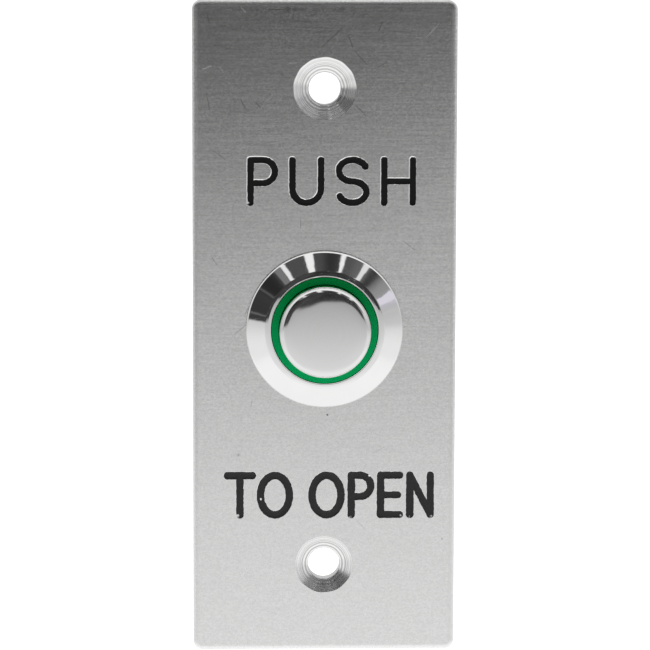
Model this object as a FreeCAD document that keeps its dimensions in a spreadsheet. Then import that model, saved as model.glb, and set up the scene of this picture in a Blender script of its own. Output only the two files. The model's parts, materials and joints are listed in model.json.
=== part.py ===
# Door exit button: a narrow brushed steel plate with two countersunk screw holes and a
# round push button with a green light ring. The button is a sealed momentary switch that
# is clamped through the plate with a lock washer and a hex nut.
#
# Frame: the plate stands upright with its back face on the plane y = 0. +Y runs into the
# wall, +X is to the right and +Z is up. The origin is on the button's axis, midway between
# the two screw holes. "Depth" below is a place along Y, so the front faces are negative.
import FreeCAD, Part
import os
import Sketcher

Vector = FreeCAD.Vector

# Driving dimensions in millimetres, angles in degrees
SIZES = {
    # faceplate
    "plate_width": 37.0,
    "plate_height": 92.0,
    "plate_thickness": 3.0,
    "plate_corner_radius": 1.3,
    "plate_edge_radius": 0.4,
    "screw_spacing": 67.4,
    "screw_hole_diameter": 4.5,
    "upper_sink_diameter": 8.8,
    "lower_sink_diameter": 8.1,
    "sink_angle": 130.0,
    "panel_hole_clearance": 0.15,
    # bezel: the head and threaded barrel, one turned piece
    "thread_diameter": 19.0,
    "barrel_length": 14.0,
    "barrel_wall": 1.3,
    "barrel_end_chamfer": 0.5,
    "head_overhang": 1.55,
    "head_edge_height": 0.75,
    "head_edge_radius": 0.75,
    "cone_width": 2.65,
    "cone_height": 1.18,
    "lip_height": 0.12,
    "lip_edge_radius": 0.1,
    "mouth_shoulder": 0.7,
    "mouth_depth": 2.85,
    # flat sealing ring under the head
    "gasket_width": 0.8,
    "gasket_height": 0.6,
    # light ring
    "ring_width": 0.9,
    "ring_recess": 0.05,
    "ring_edge_radius": 0.15,
    "guide_length": 4.8,
    "leg_angle": 24.0,
    "leg_width": 1.0,
    "fit_gap": 0.05,
    # button cap
    "cap_gap": 0.2,
    "cap_stand": 2.9,
    "cap_dome": 0.3,
    "cap_edge_radius": 1.0,
    "cap_depth": 5.45,
    "cap_face_thickness": 1.3,
    "cap_wall": 1.0,
    "travel": 2.5,
    # carrier under the cap, with its running seal
    "carrier_land": 0.5,
    "seal_section": 1.2,
    "seal_gap": 0.06,
    "groove_side_gap": 0.05,
    "carrier_side_gap": 0.4,
    # stem
    "stem_diameter": 6.4,
    "spigot_diameter": 4.8,
    "spigot_length": 3.9,
    "collar_diameter": 8.0,
    "collar_height": 1.0,
    "stem_tail_diameter": 5.8,
    "stem_tail_length": 2.5,
    "stem_gap": 0.2,
    "stop_gap": 0.05,
    "spring_bore_diameter": 4.7,
    "spring_bore_floor": 2.4,
    # return spring
    "wire_diameter": 0.4,
    "spring_diameter": 4.4,
    "spring_coils": 6.0,
    "end_coil_pitch": 0.46,
    "peg_gap": 0.35,
    "peg_length": 2.2,
    # lamp board
    "lamp_count": 4.0,
    "lamp_gap": 0.4,
    "lamp_height": 0.8,
    "lamp_length": 1.6,
    "lamp_depth": 1.1,
    "board_thickness": 1.0,
    "board_side_gap": 0.1,
    "resistor_length": 1.6,
    "resistor_width": 0.8,
    "resistor_height": 0.5,
    # contact housing and terminal base
    "housing_wall": 0.9,
    "housing_front_wall": 1.4,
    "housing_shoulder": 0.7,
    "housing_flat_depth": 0.6,
    "housing_flat_length": 5.5,
    "housing_tail": 9.0,
    "base_plug_length": 3.2,
    "base_rim_height": 1.2,
    "resin_depth": 0.8,
    "resin_wall": 0.6,
    # contacts
    "strip_thickness": 0.5,
    "strip_width": 2.2,
    "contact_offset": 2.0,
    "bridge_thickness": 0.4,
    "bridge_gap": 0.35,
    "bridge_collar": 1.1,
    "finger_gap": 0.3,
    "finger_length": 2.15,
    "tip_diameter": 1.1,
    "tip_height": 0.35,
    "collar_to_finger": 1.65,
    "clip_thickness": 0.5,
    "clip_width": 0.9,
    "clip_slot": 2.2,
    # solder tabs
    "tab_length": 5.6,
    "eyelet_diameter": 1.0,
    "eyelet_inset": 1.5,
    "lamp_strip_width": 2.0,
    "lamp_pin_width": 0.8,
    "lamp_pin_reach": 0.3,
    "lamp_strip_inset": 0.6,
    # clamping hardware
    "washer_thickness": 0.8,
    "washer_band": 1.5,
    "tooth_length": 1.15,
    "washer_teeth": 12.0,
    "tooth_width": 1.5,
    "tooth_tip_width": 1.2,
    "nut_wall": 1.5,
    "nut_thickness": 3.0,
    "nut_chamfer": 0.55,
    "thread_gap": 0.05,
}


# Places along Y, each worked out from the sizes above
PLATE_FRONT = "(-Sizes.plate_thickness)"
HEAD_EDGE = f"({PLATE_FRONT} - Sizes.head_edge_height)"
CONE_TOP = f"({HEAD_EDGE} - Sizes.cone_height)"
LIP_TOP = f"({CONE_TOP} - Sizes.lip_height)"
MOUTH_FLOOR = f"({LIP_TOP} + Sizes.mouth_depth)"
BARREL_END = f"({PLATE_FRONT} + Sizes.barrel_length)"
RING_FRONT = f"({LIP_TOP} + Sizes.ring_recess)"
GUIDE_BACK = f"({MOUTH_FLOOR} + Sizes.guide_length)"
LAMP_FRONT = f"({GUIDE_BACK} + Sizes.lamp_gap)"
BOARD_FRONT = f"({LAMP_FRONT} + Sizes.lamp_height)"
HOUSING_FRONT = f"({BOARD_FRONT} + Sizes.board_thickness)"
HOUSING_FLOOR = f"({HOUSING_FRONT} + Sizes.housing_front_wall)"
HOUSING_END = f"({BARREL_END} + Sizes.housing_tail)"
BASE_FRONT = f"({HOUSING_END} - Sizes.base_plug_length)"
BASE_BACK = f"({HOUSING_END} + Sizes.base_rim_height)"
RESIN_FRONT = f"({BASE_BACK} - Sizes.resin_depth)"
TAB_END = f"({BASE_BACK} + Sizes.tab_length)"

CAP_RIM = f"({RING_FRONT} - Sizes.cap_stand)"
CAP_CROWN = f"({CAP_RIM} - Sizes.cap_dome)"
CAP_INSIDE = f"({CAP_RIM} + Sizes.cap_face_thickness)"
CAP_BACK = f"({CAP_RIM} + Sizes.cap_depth)"
SEAL_GROOVE = f"({CAP_BACK} + Sizes.carrier_land)"
SEAL_GROOVE_WIDTH = "(Sizes.seal_section + 2 * Sizes.groove_side_gap)"
SEAL_GROOVE_END = f"({SEAL_GROOVE} + {SEAL_GROOVE_WIDTH})"
CARRIER_BACK = f"({SEAL_GROOVE_END} + Sizes.carrier_land)"
SPIGOT_END = f"({CARRIER_BACK} - Sizes.spigot_length)"
COLLAR_FRONT = f"({HOUSING_FLOOR} + Sizes.stop_gap)"
COLLAR_BACK = f"({COLLAR_FRONT} + Sizes.collar_height)"
SPRING_FLOOR = f"({COLLAR_FRONT} + Sizes.spring_bore_floor - Sizes.collar_height)"

# The fixed fingers stand in front of and behind the moving bridge, with one tip on each face
FRONT_FINGER = f"({COLLAR_BACK} + Sizes.collar_to_finger)"
FRONT_TIP = f"({FRONT_FINGER} + Sizes.strip_thickness)"
BRIDGE_FRONT = f"({FRONT_TIP} + 2 * Sizes.tip_height + Sizes.stop_gap)"
BRIDGE_BACK = f"({BRIDGE_FRONT} + Sizes.bridge_thickness)"
REAR_TIP = f"({BRIDGE_BACK} + Sizes.tip_height + Sizes.travel + Sizes.stop_gap)"
REAR_FINGER = f"({REAR_TIP} + Sizes.tip_height)"
STEM_END = f"({BRIDGE_BACK} + Sizes.stem_tail_length)"

# Radii about the button's axis
THREAD = "(Sizes.thread_diameter / 2)"
PANEL_HOLE = f"({THREAD} + Sizes.panel_hole_clearance)"
HEAD = f"({THREAD} + Sizes.head_overhang)"
CONE_INNER = f"({HEAD} - Sizes.cone_width)"
BARREL_BORE = f"({THREAD} - Sizes.barrel_wall)"
MOUTH = f"({BARREL_BORE} - Sizes.mouth_shoulder)"
RING_OUTER = f"({MOUTH} - Sizes.fit_gap)"
RING_INNER = f"({MOUTH} - Sizes.ring_width)"
GUIDE_OUTER = f"({BARREL_BORE} - Sizes.fit_gap)"
CAP = f"({RING_INNER} - Sizes.cap_gap)"
CAP_BORE = f"({CAP} - Sizes.cap_wall)"
CARRIER = f"({RING_INNER} - Sizes.carrier_side_gap)"
SEAL_OUTER = f"({RING_INNER} - Sizes.seal_gap)"
SEAL_FLOOR = f"({SEAL_OUTER} - Sizes.seal_section)"
SPIGOT = "(Sizes.spigot_diameter / 2)"
STEM = "(Sizes.stem_diameter / 2)"
STEM_HOLE = f"({STEM} + Sizes.stem_gap)"
COLLAR = "(Sizes.collar_diameter / 2)"
STEM_TAIL = "(Sizes.stem_tail_diameter / 2)"
SPRING_BORE = "(Sizes.spring_bore_diameter / 2)"
WIRE = "(Sizes.wire_diameter / 2)"
COIL = f"(Sizes.spring_diameter / 2 - {WIRE})"
PEG = f"({COIL} - {WIRE} - Sizes.peg_gap)"
HOUSING_NOSE = f"({BARREL_BORE} - Sizes.board_side_gap)"
CAVITY = f"({HOUSING_NOSE} - Sizes.housing_wall)"
HOUSING = f"({HOUSING_NOSE} + Sizes.housing_shoulder)"
HOUSING_FLAT = f"({HOUSING} - Sizes.housing_flat_depth)"
RESIN = f"({HOUSING_FLAT} - Sizes.resin_wall)"
LAMP_CENTRE = f"({GUIDE_OUTER} - Sizes.lamp_depth / 2 - Sizes.fit_gap)"
WASHER_BAND = f"({PANEL_HOLE} + Sizes.tooth_length)"
WASHER = f"({WASHER_BAND} + Sizes.washer_band)"
NUT_FLAT = f"({THREAD} + Sizes.nut_wall)"
NUT_CORNER = f"({NUT_FLAT} * 2 / sqrt(3))"
LAMP_STRIP_FAR = f"({CAVITY} - Sizes.lamp_strip_inset)"
LAMP_STRIP_NEAR = f"({LAMP_STRIP_FAR} - Sizes.strip_thickness)"

# The contact strips stand inside the housing's wall. The paired ones sit nearer to the
# axis than the single one, because their outer corners are further out along the arc.
STRIP_HALF = "(Sizes.strip_width / 2)"
PAIR_CORNER = f"(Sizes.contact_offset + {STRIP_HALF})"
STRIP_LIMIT = f"({CAVITY} - Sizes.board_side_gap)"
PAIR_OUTER = f"sqrt({STRIP_LIMIT}^2 - {PAIR_CORNER}^2)"
SINGLE_OUTER = f"sqrt({STRIP_LIMIT}^2 - {STRIP_HALF}^2)"
PAIR_INNER = f"({PAIR_OUTER} - Sizes.strip_thickness)"
SINGLE_INNER = f"({SINGLE_OUTER} - Sizes.strip_thickness)"

doc = FreeCAD.newDocument("door_exit_button")
sheet = doc.addObject("Spreadsheet::Sheet", "Sizes")


def fill_sheet():
    """Write every driving dimension into its own cell and give the cell an alias."""
    for row, (name, size) in enumerate(SIZES.items(), start=1):
        cell = f"B{row}"
        sheet.set(f"A{row}", name)
        sheet.set(cell, str(size))
        sheet.setAlias(cell, name)
    doc.recompute()


def number(expression):
    """The number that an expression over the sheet stands for."""
    return float(sheet.evalExpression(expression))


def new_body(label):
    body = doc.addObject("PartDesign::Body", label)
    body.Label = label
    return body


def new_sketch(body, name, role, offset=None):
    """A sketch on one of the body's origin planes, moved along its normal by an expression."""
    sketch = body.newObject("Sketcher::SketchObject", name)
    plane = next(f for f in body.Origin.OriginFeatures if f.Role == role)
    sketch.AttachmentSupport = [(plane, "")]
    sketch.MapMode = "FlatFace"
    if offset is not None:
        sketch.setExpression(".AttachmentOffset.Base.z", offset)
    return sketch


def section_sketch(body, name, depth):
    """A sketch across the button's axis at a depth: its x is +X and its y is +Z."""
    return new_sketch(body, name, "XZ_Plane", f"-({depth})")


def bind(sketch, kind, geometry, position, expression):
    """Hold one coordinate of a point of the sketch to an expression."""
    size = number(expression)
    index = sketch.addConstraint(Sketcher.Constraint(kind, -1, 1, geometry, position, size))
    sketch.setExpression(f"Constraints[{index}]", expression)


def bind_point(sketch, geometry, position, x, y):
    bind(sketch, "DistanceX", geometry, position, x)
    bind(sketch, "DistanceY", geometry, position, y)


def arc_between(first, last, centre_x):
    """The short arc from first to last about a centre with a known x, and which end is first."""
    (x1, y1), (x2, y2) = first, last
    lean = (x2 - centre_x) ** 2 - (x1 - centre_x) ** 2
    centre = Vector(centre_x, (lean + y2**2 - y1**2) / (2 * (y2 - y1)), 0)
    spokes = [Vector(x, y, 0) - centre for x, y in (first, last)]
    circle = Part.Circle(centre, Vector(0, 0, 1), spokes[0].Length)
    turns_left = spokes[0].cross(spokes[1]).z > 0
    start, end = spokes if turns_left else reversed(spokes)
    angles = [FreeCAD.Vector(1, 0, 0).getAngle(s) * (1 if s.y >= 0 else -1) for s in (start, end)]
    return Part.ArcOfCircle(circle, *angles), turns_left


def outline(sketch, corners):
    """A closed outline. A corner is (x, y), or (x, y, centre_x) where an arc leads to the next."""
    places = [(number(c[0]), number(c[1])) for c in corners]
    starts, ends = [], []
    for index, corner in enumerate(corners):
        here, there = places[index], places[(index + 1) % len(corners)]
        if len(corner) == 3:
            edge, forward = arc_between(here, there, number(corner[2]))
        else:
            edge, forward = Part.LineSegment(Vector(*here, 0), Vector(*there, 0)), True
        geometry = sketch.addGeometry(edge, False)
        starts.append((geometry, 1 if forward else 2))
        ends.append((geometry, 2 if forward else 1))
    for index, end in enumerate(ends):
        sketch.addConstraint(Sketcher.Constraint("Coincident", *end, *starts[(index + 1) % len(starts)]))
    for index, corner in enumerate(corners):
        bind_point(sketch, *starts[index], corner[0], corner[1])
        if len(corner) == 3:
            bind(sketch, "DistanceX", starts[index][0], 3, corner[2])


def rectangle(sketch, left, right, low, high):
    outline(sketch, [(left, low), (right, low), (right, high), (left, high)])


def circle(sketch, radius, x="0", y="0"):
    place = Vector(number(x), number(y), 0)
    geometry = sketch.addGeometry(Part.Circle(place, Vector(0, 0, 1), number(radius)), False)
    bind_point(sketch, geometry, 3, x, y)
    index = sketch.addConstraint(Sketcher.Constraint("Radius", geometry, number(radius)))
    sketch.setExpression(f"Constraints[{index}]", radius)


def turn(body, name, corners, kind="PartDesign::Revolution"):
    """Revolve an outline of (radius, depth) corners round the button's axis."""
    sketch = new_sketch(body, name + "_profile", "XY_Plane")
    outline(sketch, corners)
    feature = body.newObject(kind, name)
    feature.Profile = sketch
    feature.ReferenceAxis = (sketch, ["V_Axis"])
    feature.Angle = 360
    doc.recompute()
    return feature


def extrude(body, name, sketch, length, kind="PartDesign::Pad", reversed_way=False, middle=False):
    feature = body.newObject(kind, name)
    feature.Profile = sketch
    feature.setExpression("Length", length)
    feature.Reversed = reversed_way
    feature.Midplane = middle
    doc.recompute()
    return feature


def pad_back(body, name, sketch, length):
    """Add material from a section sketch towards the wall."""
    return extrude(body, name, sketch, length, reversed_way=True)


def cut_back(body, name, sketch, length):
    """Remove material from a section sketch towards the wall."""
    return extrude(body, name, sketch, length, kind="PartDesign::Pocket")


def round_edges(body, name, edges, radius, kind="PartDesign::Fillet"):
    """Fillet or chamfer edges of the body's newest feature, found by a test on each edge."""
    base = body.Tip
    found = [f"Edge{i}" for i, edge in enumerate(base.Shape.Edges, start=1) if edges(edge)]
    feature = body.newObject(kind, name)
    feature.Base = (base, found)
    feature.setExpression("Size" if kind.endswith("Chamfer") else "Radius", radius)
    doc.recompute()
    return feature


def ring_edge(radius, depth):
    """A test for the circular edge about the button's axis with this radius at this depth."""
    wanted_radius, wanted_depth = number(radius), number(depth)

    def matches(edge):
        if edge.Degenerated or not isinstance(edge.Curve, Part.Circle):
            return False
        curve = edge.Curve
        return abs(curve.Radius - wanted_radius) < 1e-4 and abs(curve.Center.y - wanted_depth) < 1e-4

    return matches


def polar_copies(body, name, feature, sketch, count):
    """Repeat a feature evenly round the button's axis, which is the section sketch's normal."""
    pattern = body.newObject("PartDesign::PolarPattern", name)
    pattern.Originals = [feature]
    pattern.Axis = (sketch, ["N_Axis"])
    pattern.Angle = 360
    pattern.setExpression("Occurrences", count)
    body.Tip = pattern
    doc.recompute()
    return pattern


def make_faceplate():
    body = new_body("faceplate")
    sketch = section_sketch(body, "plate_outline", "0")
    rectangle(
        sketch,
        "-Sizes.plate_width / 2",
        "Sizes.plate_width / 2",
        "-Sizes.plate_height / 2",
        "Sizes.plate_height / 2",
    )
    extrude(body, "plate_slab", sketch, "Sizes.plate_thickness")
    round_edges(
        body,
        "plate_corners",
        lambda edge: abs(edge.BoundBox.YLength - edge.Length) < 1e-6,
        "Sizes.plate_corner_radius",
    )
    front = number(PLATE_FRONT)
    round_edges(
        body,
        "plate_front_edge",
        lambda edge: abs(edge.BoundBox.YMin - front) < 1e-6 and edge.BoundBox.YLength < 1e-6,
        "Sizes.plate_edge_radius",
    )
    hole = section_sketch(body, "panel_hole_outline", PLATE_FRONT)
    circle(hole, PANEL_HOLE)
    cut_back(body, "panel_hole", hole, "Sizes.plate_thickness")
    for name, side, sink in (
        ("upper_screw_hole", "", "Sizes.upper_sink_diameter"),
        ("lower_screw_hole", "-", "Sizes.lower_sink_diameter"),
    ):
        spot = section_sketch(body, name + "_spot", PLATE_FRONT)
        circle(spot, "Sizes.screw_hole_diameter / 2", y=f"{side}Sizes.screw_spacing / 2")
        drilled = body.newObject("PartDesign::Hole", name)
        drilled.Profile = spot
        doc.recompute()
        drilled.Threaded = False
        drilled.DepthType = "ThroughAll"
        drilled.setExpression("Diameter", "Sizes.screw_hole_diameter")
        drilled.HoleCutType = "Countersink"
        drilled.HoleCutCustomValues = True
        drilled.setExpression("HoleCutDiameter", sink)
        drilled.setExpression("HoleCutCountersinkAngle", "Sizes.sink_angle")
        doc.recompute()
    return body


def make_bezel():
    """The head with its steep cone and flatter lip, and the barrel, in one turned piece."""
    body = new_body("bezel_barrel")
    groove_outer = f"({PANEL_HOLE} + Sizes.gasket_width + Sizes.fit_gap)"
    groove_floor = f"({PLATE_FRONT} - Sizes.gasket_height)"
    turn(
        body,
        "bezel_turning",
        [
            (MOUTH, LIP_TOP),
            (CONE_INNER, CONE_TOP),
            (HEAD, HEAD_EDGE),
            (HEAD, PLATE_FRONT),
            (groove_outer, PLATE_FRONT),
            (groove_outer, groove_floor),
            (THREAD, groove_floor),
            (THREAD, BARREL_END),
            (BARREL_BORE, BARREL_END),
            (BARREL_BORE, MOUTH_FLOOR),
            (MOUTH, MOUTH_FLOOR),
        ],
    )
    round_edges(body, "lip_edge", ring_edge(MOUTH, LIP_TOP), "Sizes.lip_edge_radius")
    round_edges(body, "head_edge", ring_edge(HEAD, HEAD_EDGE), "Sizes.head_edge_radius")
    round_edges(
        body, "barrel_lead", ring_edge(THREAD, BARREL_END), "Sizes.barrel_end_chamfer", "PartDesign::Chamfer"
    )
    return body


def make_gasket():
    """The flat sealing ring in the groove under the head."""
    body = new_body("head_gasket")
    inner, outer = PANEL_HOLE, f"({PANEL_HOLE} + Sizes.gasket_width)"
    floor = f"({PLATE_FRONT} - Sizes.gasket_height)"
    turn(body, "gasket_ring", [(inner, floor), (outer, floor), (outer, PLATE_FRONT), (inner, PLATE_FRONT)])
    return body


def make_light_ring():
    """The green ring, its light guide behind the bezel's shoulder, and four legs to the board."""
    body = new_body("light_ring")
    turn(
        body,
        "ring_turning",
        [
            (RING_INNER, RING_FRONT),
            (RING_OUTER, RING_FRONT),
            (RING_OUTER, MOUTH_FLOOR),
            (GUIDE_OUTER, MOUTH_FLOOR),
            (GUIDE_OUTER, GUIDE_BACK),
            (RING_INNER, GUIDE_BACK),
        ],
    )
    edges = [ring_edge(RING_INNER, RING_FRONT), ring_edge(RING_OUTER, RING_FRONT)]
    round_edges(body, "ring_edges", lambda edge: any(e(edge) for e in edges), "Sizes.ring_edge_radius")
    leg = section_sketch(body, "leg_outline", GUIDE_BACK)
    half = "(Sizes.leg_angle / 2 * 1 deg)"
    inner = f"({GUIDE_OUTER} - Sizes.leg_width)"
    outline(
        leg,
        [
            (f"{inner} * cos({half})", f"-{inner} * sin({half})"),
            (f"{GUIDE_OUTER} * cos({half})", f"-{GUIDE_OUTER} * sin({half})", "0"),
            (f"{GUIDE_OUTER} * cos({half})", f"{GUIDE_OUTER} * sin({half})"),
            (f"{inner} * cos({half})", f"{inner} * sin({half})", "0"),
        ],
    )
    first = pad_back(body, "leg", leg, f"{BOARD_FRONT} - {GUIDE_BACK}")
    polar_copies(body, "legs", first, leg, "Sizes.lamp_count")
    return body


def make_cap():
    """The polished cap: a thick cup with a faintly domed face and a rounded rim."""
    body = new_body("button_cap")
    turn(
        body,
        "cap_turning",
        [
            ("0", CAP_CROWN, "0"),
            (CAP, CAP_RIM),
            (CAP, CAP_BACK),
            (CAP_BORE, CAP_BACK),
            (CAP_BORE, CAP_INSIDE),
            ("0", CAP_INSIDE),
        ],
    )
    round_edges(body, "cap_rim", ring_edge(CAP, CAP_RIM), "Sizes.cap_edge_radius")
    return body


def make_carrier():
    """The moulded piece that fills the cap, takes the stem's spigot and holds the seal."""
    body = new_body("cap_carrier")
    nose = f"({CAP_BORE} - Sizes.fit_gap / 2)"
    bore = f"({SPIGOT} + Sizes.fit_gap / 2)"
    turn(
        body,
        "carrier_turning",
        [
            ("0", CAP_INSIDE),
            (nose, CAP_INSIDE),
            (nose, CAP_BACK),
            (CARRIER, CAP_BACK),
            (CARRIER, SEAL_GROOVE),
            (SEAL_FLOOR, SEAL_GROOVE),
            (SEAL_FLOOR, SEAL_GROOVE_END),
            (CARRIER, SEAL_GROOVE_END),
            (CARRIER, CARRIER_BACK),
            (bore, CARRIER_BACK),
            (bore, SPIGOT_END),
            ("0", SPIGOT_END),
        ],
    )
    return body


def make_seal():
    """The running seal, a round ring in the carrier's groove."""
    body = new_body("plunger_seal")
    sketch = new_sketch(body, "seal_section_outline", "XY_Plane")
    middle = f"({SEAL_FLOOR} + Sizes.seal_section / 2)"
    circle(sketch, "Sizes.seal_section / 2", middle, f"{SEAL_GROOVE} + {SEAL_GROOVE_WIDTH} / 2")
    feature = body.newObject("PartDesign::Revolution", "seal_ring")
    feature.Profile = sketch
    feature.ReferenceAxis = (sketch, ["V_Axis"])
    feature.Angle = 360
    doc.recompute()
    return body


def make_stem():
    """The stem, from its spigot in the carrier to the tail that the contact bridge sits on."""
    body = new_body("plunger_stem")
    turn(
        body,
        "stem_turning",
        [
            ("0", SPIGOT_END),
            (SPIGOT, SPIGOT_END),
            (SPIGOT, CARRIER_BACK),
            (STEM, CARRIER_BACK),
            (STEM, COLLAR_FRONT),
            (COLLAR, COLLAR_FRONT),
            (COLLAR, COLLAR_BACK),
            (STEM, COLLAR_BACK),
            (STEM, BRIDGE_FRONT),
            (STEM_TAIL, BRIDGE_FRONT),
            (STEM_TAIL, STEM_END),
            (SPRING_BORE, STEM_END),
            (SPRING_BORE, SPRING_FLOOR),
            ("0", SPRING_FLOOR),
        ],
    )
    return body


def make_spring():
    """The return spring: open coils with one nearly closed coil at each end."""
    body = new_body("return_spring")
    start, end = f"({SPRING_FLOOR} + {WIRE})", f"({BASE_FRONT} - {WIRE})"
    first, last = f"({start} + Sizes.end_coil_pitch)", f"({end} - Sizes.end_coil_pitch)"
    open_length = f"({last} - {first})"
    for name, depth, height, pitch in (
        ("front_end_coil", start, "Sizes.end_coil_pitch", "Sizes.end_coil_pitch"),
        ("open_coils", first, open_length, f"{open_length} / Sizes.spring_coils"),
        ("rear_end_coil", last, "Sizes.end_coil_pitch", "Sizes.end_coil_pitch"),
    ):
        sketch = new_sketch(body, name + "_wire", "XY_Plane")
        circle(sketch, WIRE, COIL, depth)
        coil = body.newObject("PartDesign::AdditiveHelix", name)
        coil.Profile = sketch
        coil.ReferenceAxis = (sketch, ["V_Axis"])
        coil.Mode = "pitch-height-angle"
        coil.setExpression("Height", height)
        coil.setExpression("Pitch", pitch)
        doc.recompute()
    return body


def make_lamp_board():
    """The annular circuit board, with slots for the two lamp pins."""
    body = new_body("lamp_board")
    turn(
        body,
        "board_ring",
        [
            (f"({STEM_HOLE} + Sizes.stem_gap)", BOARD_FRONT),
            (HOUSING_NOSE, BOARD_FRONT),
            (HOUSING_NOSE, HOUSING_FRONT),
            (f"({STEM_HOLE} + Sizes.stem_gap)", HOUSING_FRONT),
        ],
    )
    cut_lamp_slots(body, BOARD_FRONT, "Sizes.board_thickness", "Sizes.lamp_pin_width")
    return body


def cut_lamp_slots(body, depth, length, width):
    """Cut the two slots that the lamp strips pass through, above and below the axis."""
    gap = "Sizes.fit_gap"
    near_side = f"({LAMP_STRIP_NEAR} - {gap})"
    far_side = f"({LAMP_STRIP_FAR} + {gap})"
    for name, near, far in (
        ("upper_slot", near_side, far_side),
        ("lower_slot", f"-{far_side}", f"-{near_side}"),
    ):
        sketch = section_sketch(body, name + "_outline", depth)
        rectangle(sketch, f"(-{width} / 2 - {gap})", f"({width} / 2 + {gap})", near, far)
        cut_back(body, name, sketch, length)


def box(name, size, place):
    """A block with its own size and lowest corner."""
    block = doc.addObject("Part::Box", name)
    for side, length in zip(("Length", "Width", "Height"), size):
        block.setExpression(side, length)
    for axis, coordinate in zip("xyz", place):
        block.setExpression(f".Placement.Base.{axis}", coordinate)
    return block


def gather(label, pieces):
    """Several separate solids kept as one node."""
    group = doc.addObject("Part::Compound", label)
    group.Label = label
    group.Links = pieces
    return group


def make_lamps():
    """The lamps on the board under the light guide, one between each two legs."""
    lamps = []
    count = int(SIZES["lamp_count"])
    for index in range(count):
        lamp = doc.addObject("Part::Box", f"lamp_{index + 1}")
        lamp.setExpression("Length", "Sizes.lamp_depth")
        lamp.setExpression("Width", "Sizes.lamp_height")
        lamp.setExpression("Height", "Sizes.lamp_length")
        angle = (index + 0.5) * 360 / count
        lamp.Placement.Rotation = FreeCAD.Rotation(Vector(0, -1, 0), angle)
        across = f"({LAMP_CENTRE} - Sizes.lamp_depth / 2)"
        up = "(-Sizes.lamp_length / 2)"
        lamp.setExpression(".Placement.Base.x", f"{across} * cos({angle} deg) - {up} * sin({angle} deg)")
        lamp.setExpression(".Placement.Base.y", LAMP_FRONT)
        lamp.setExpression(".Placement.Base.z", f"{across} * sin({angle} deg) + {up} * cos({angle} deg)")
        lamps.append(lamp)
    return gather("lamps", lamps)


def make_resistors():
    """Two chip resistors on the front of the board, left and right of the stem."""
    middle = f"(({STEM_HOLE} + Sizes.stem_gap + {LAMP_CENTRE} - Sizes.lamp_depth / 2) / 2)"
    size = ("Sizes.resistor_width", "Sizes.resistor_height", "Sizes.resistor_length")
    blocks = []
    for name, side in (("left_resistor", "-"), ("right_resistor", "")):
        place = (
            f"{side}{middle} - Sizes.resistor_width / 2",
            f"{BOARD_FRONT} - Sizes.resistor_height",
            "-Sizes.resistor_length / 2",
        )
        blocks.append(box(name, size, place))
    return gather("lamp_resistors", blocks)


def make_contact_housing():
    """The moulded cup behind the board: its nose is inside the barrel and its tail behind it."""
    body = new_body("contact_housing")
    turn(
        body,
        "housing_turning",
        [
            (STEM_HOLE, HOUSING_FRONT),
            (HOUSING_NOSE, HOUSING_FRONT),
            (HOUSING_NOSE, BARREL_END),
            (HOUSING, BARREL_END),
            (HOUSING, HOUSING_END),
            (CAVITY, HOUSING_END),
            (CAVITY, HOUSING_FLOOR),
            (STEM_HOLE, HOUSING_FLOOR),
        ],
    )
    cut_lamp_slots(body, HOUSING_FRONT, "Sizes.housing_front_wall", "Sizes.lamp_strip_width")
    flat_start = f"({HOUSING_END} - Sizes.housing_flat_length)"
    for name, near, far in (
        ("left_flat", f"-{HOUSING}", f"-{HOUSING_FLAT}"),
        ("right_flat", HOUSING_FLAT, HOUSING),
    ):
        sketch = section_sketch(body, name + "_outline", flat_start)
        rectangle(sketch, near, far, f"-{HOUSING}", HOUSING)
        cut_back(body, name, sketch, "Sizes.housing_flat_length")
    return body


def strip_slots(body, depth, length):
    """Cut the slots for all five strips straight through the terminal base."""
    gap = "Sizes.fit_gap"
    half = f"({STRIP_HALF} + {gap})"
    left_far, left_near = f"(-{SINGLE_OUTER} - {gap})", f"(-{SINGLE_INNER} + {gap})"
    right_near, right_far = f"({PAIR_INNER} - {gap})", f"({PAIR_OUTER} + {gap})"
    pair_low, pair_high = f"(Sizes.contact_offset - {half})", f"(Sizes.contact_offset + {half})"
    for name, left, right, low, high in (
        ("common_slot", left_far, left_near, f"-{half}", half),
        ("closed_slot", right_near, right_far, pair_low, pair_high),
        ("open_slot", right_near, right_far, f"-{pair_high}", f"-{pair_low}"),
    ):
        sketch = section_sketch(body, name + "_outline", depth)
        rectangle(sketch, left, right, low, high)
        cut_back(body, name, sketch, length)
    cut_lamp_slots(body, depth, length, "Sizes.lamp_strip_width")


def make_terminal_base():
    """The base that plugs the housing, carries the strips and has the spring's peg."""
    body = new_body("terminal_base")
    plug = f"({CAVITY} - Sizes.fit_gap)"
    peg_tip = f"({BASE_FRONT} - Sizes.peg_length)"
    turn(
        body,
        "base_turning",
        [
            ("0", peg_tip),
            (PEG, peg_tip),
            (PEG, BASE_FRONT),
            (plug, BASE_FRONT),
            (plug, HOUSING_END),
            (HOUSING, HOUSING_END),
            (HOUSING, BASE_BACK),
            (RESIN, BASE_BACK),
            (RESIN, RESIN_FRONT),
            ("0", RESIN_FRONT),
        ],
    )
    strip_slots(body, BASE_FRONT, f"{RESIN_FRONT} - {BASE_FRONT}")
    for name, near, far in (
        ("left_base_flat", f"-{HOUSING}", f"-{HOUSING_FLAT}"),
        ("right_base_flat", HOUSING_FLAT, HOUSING),
    ):
        sketch = section_sketch(body, name + "_outline", HOUSING_END)
        rectangle(sketch, near, far, f"-{HOUSING}", HOUSING)
        cut_back(body, name, sketch, "Sizes.base_rim_height")
    return body


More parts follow.
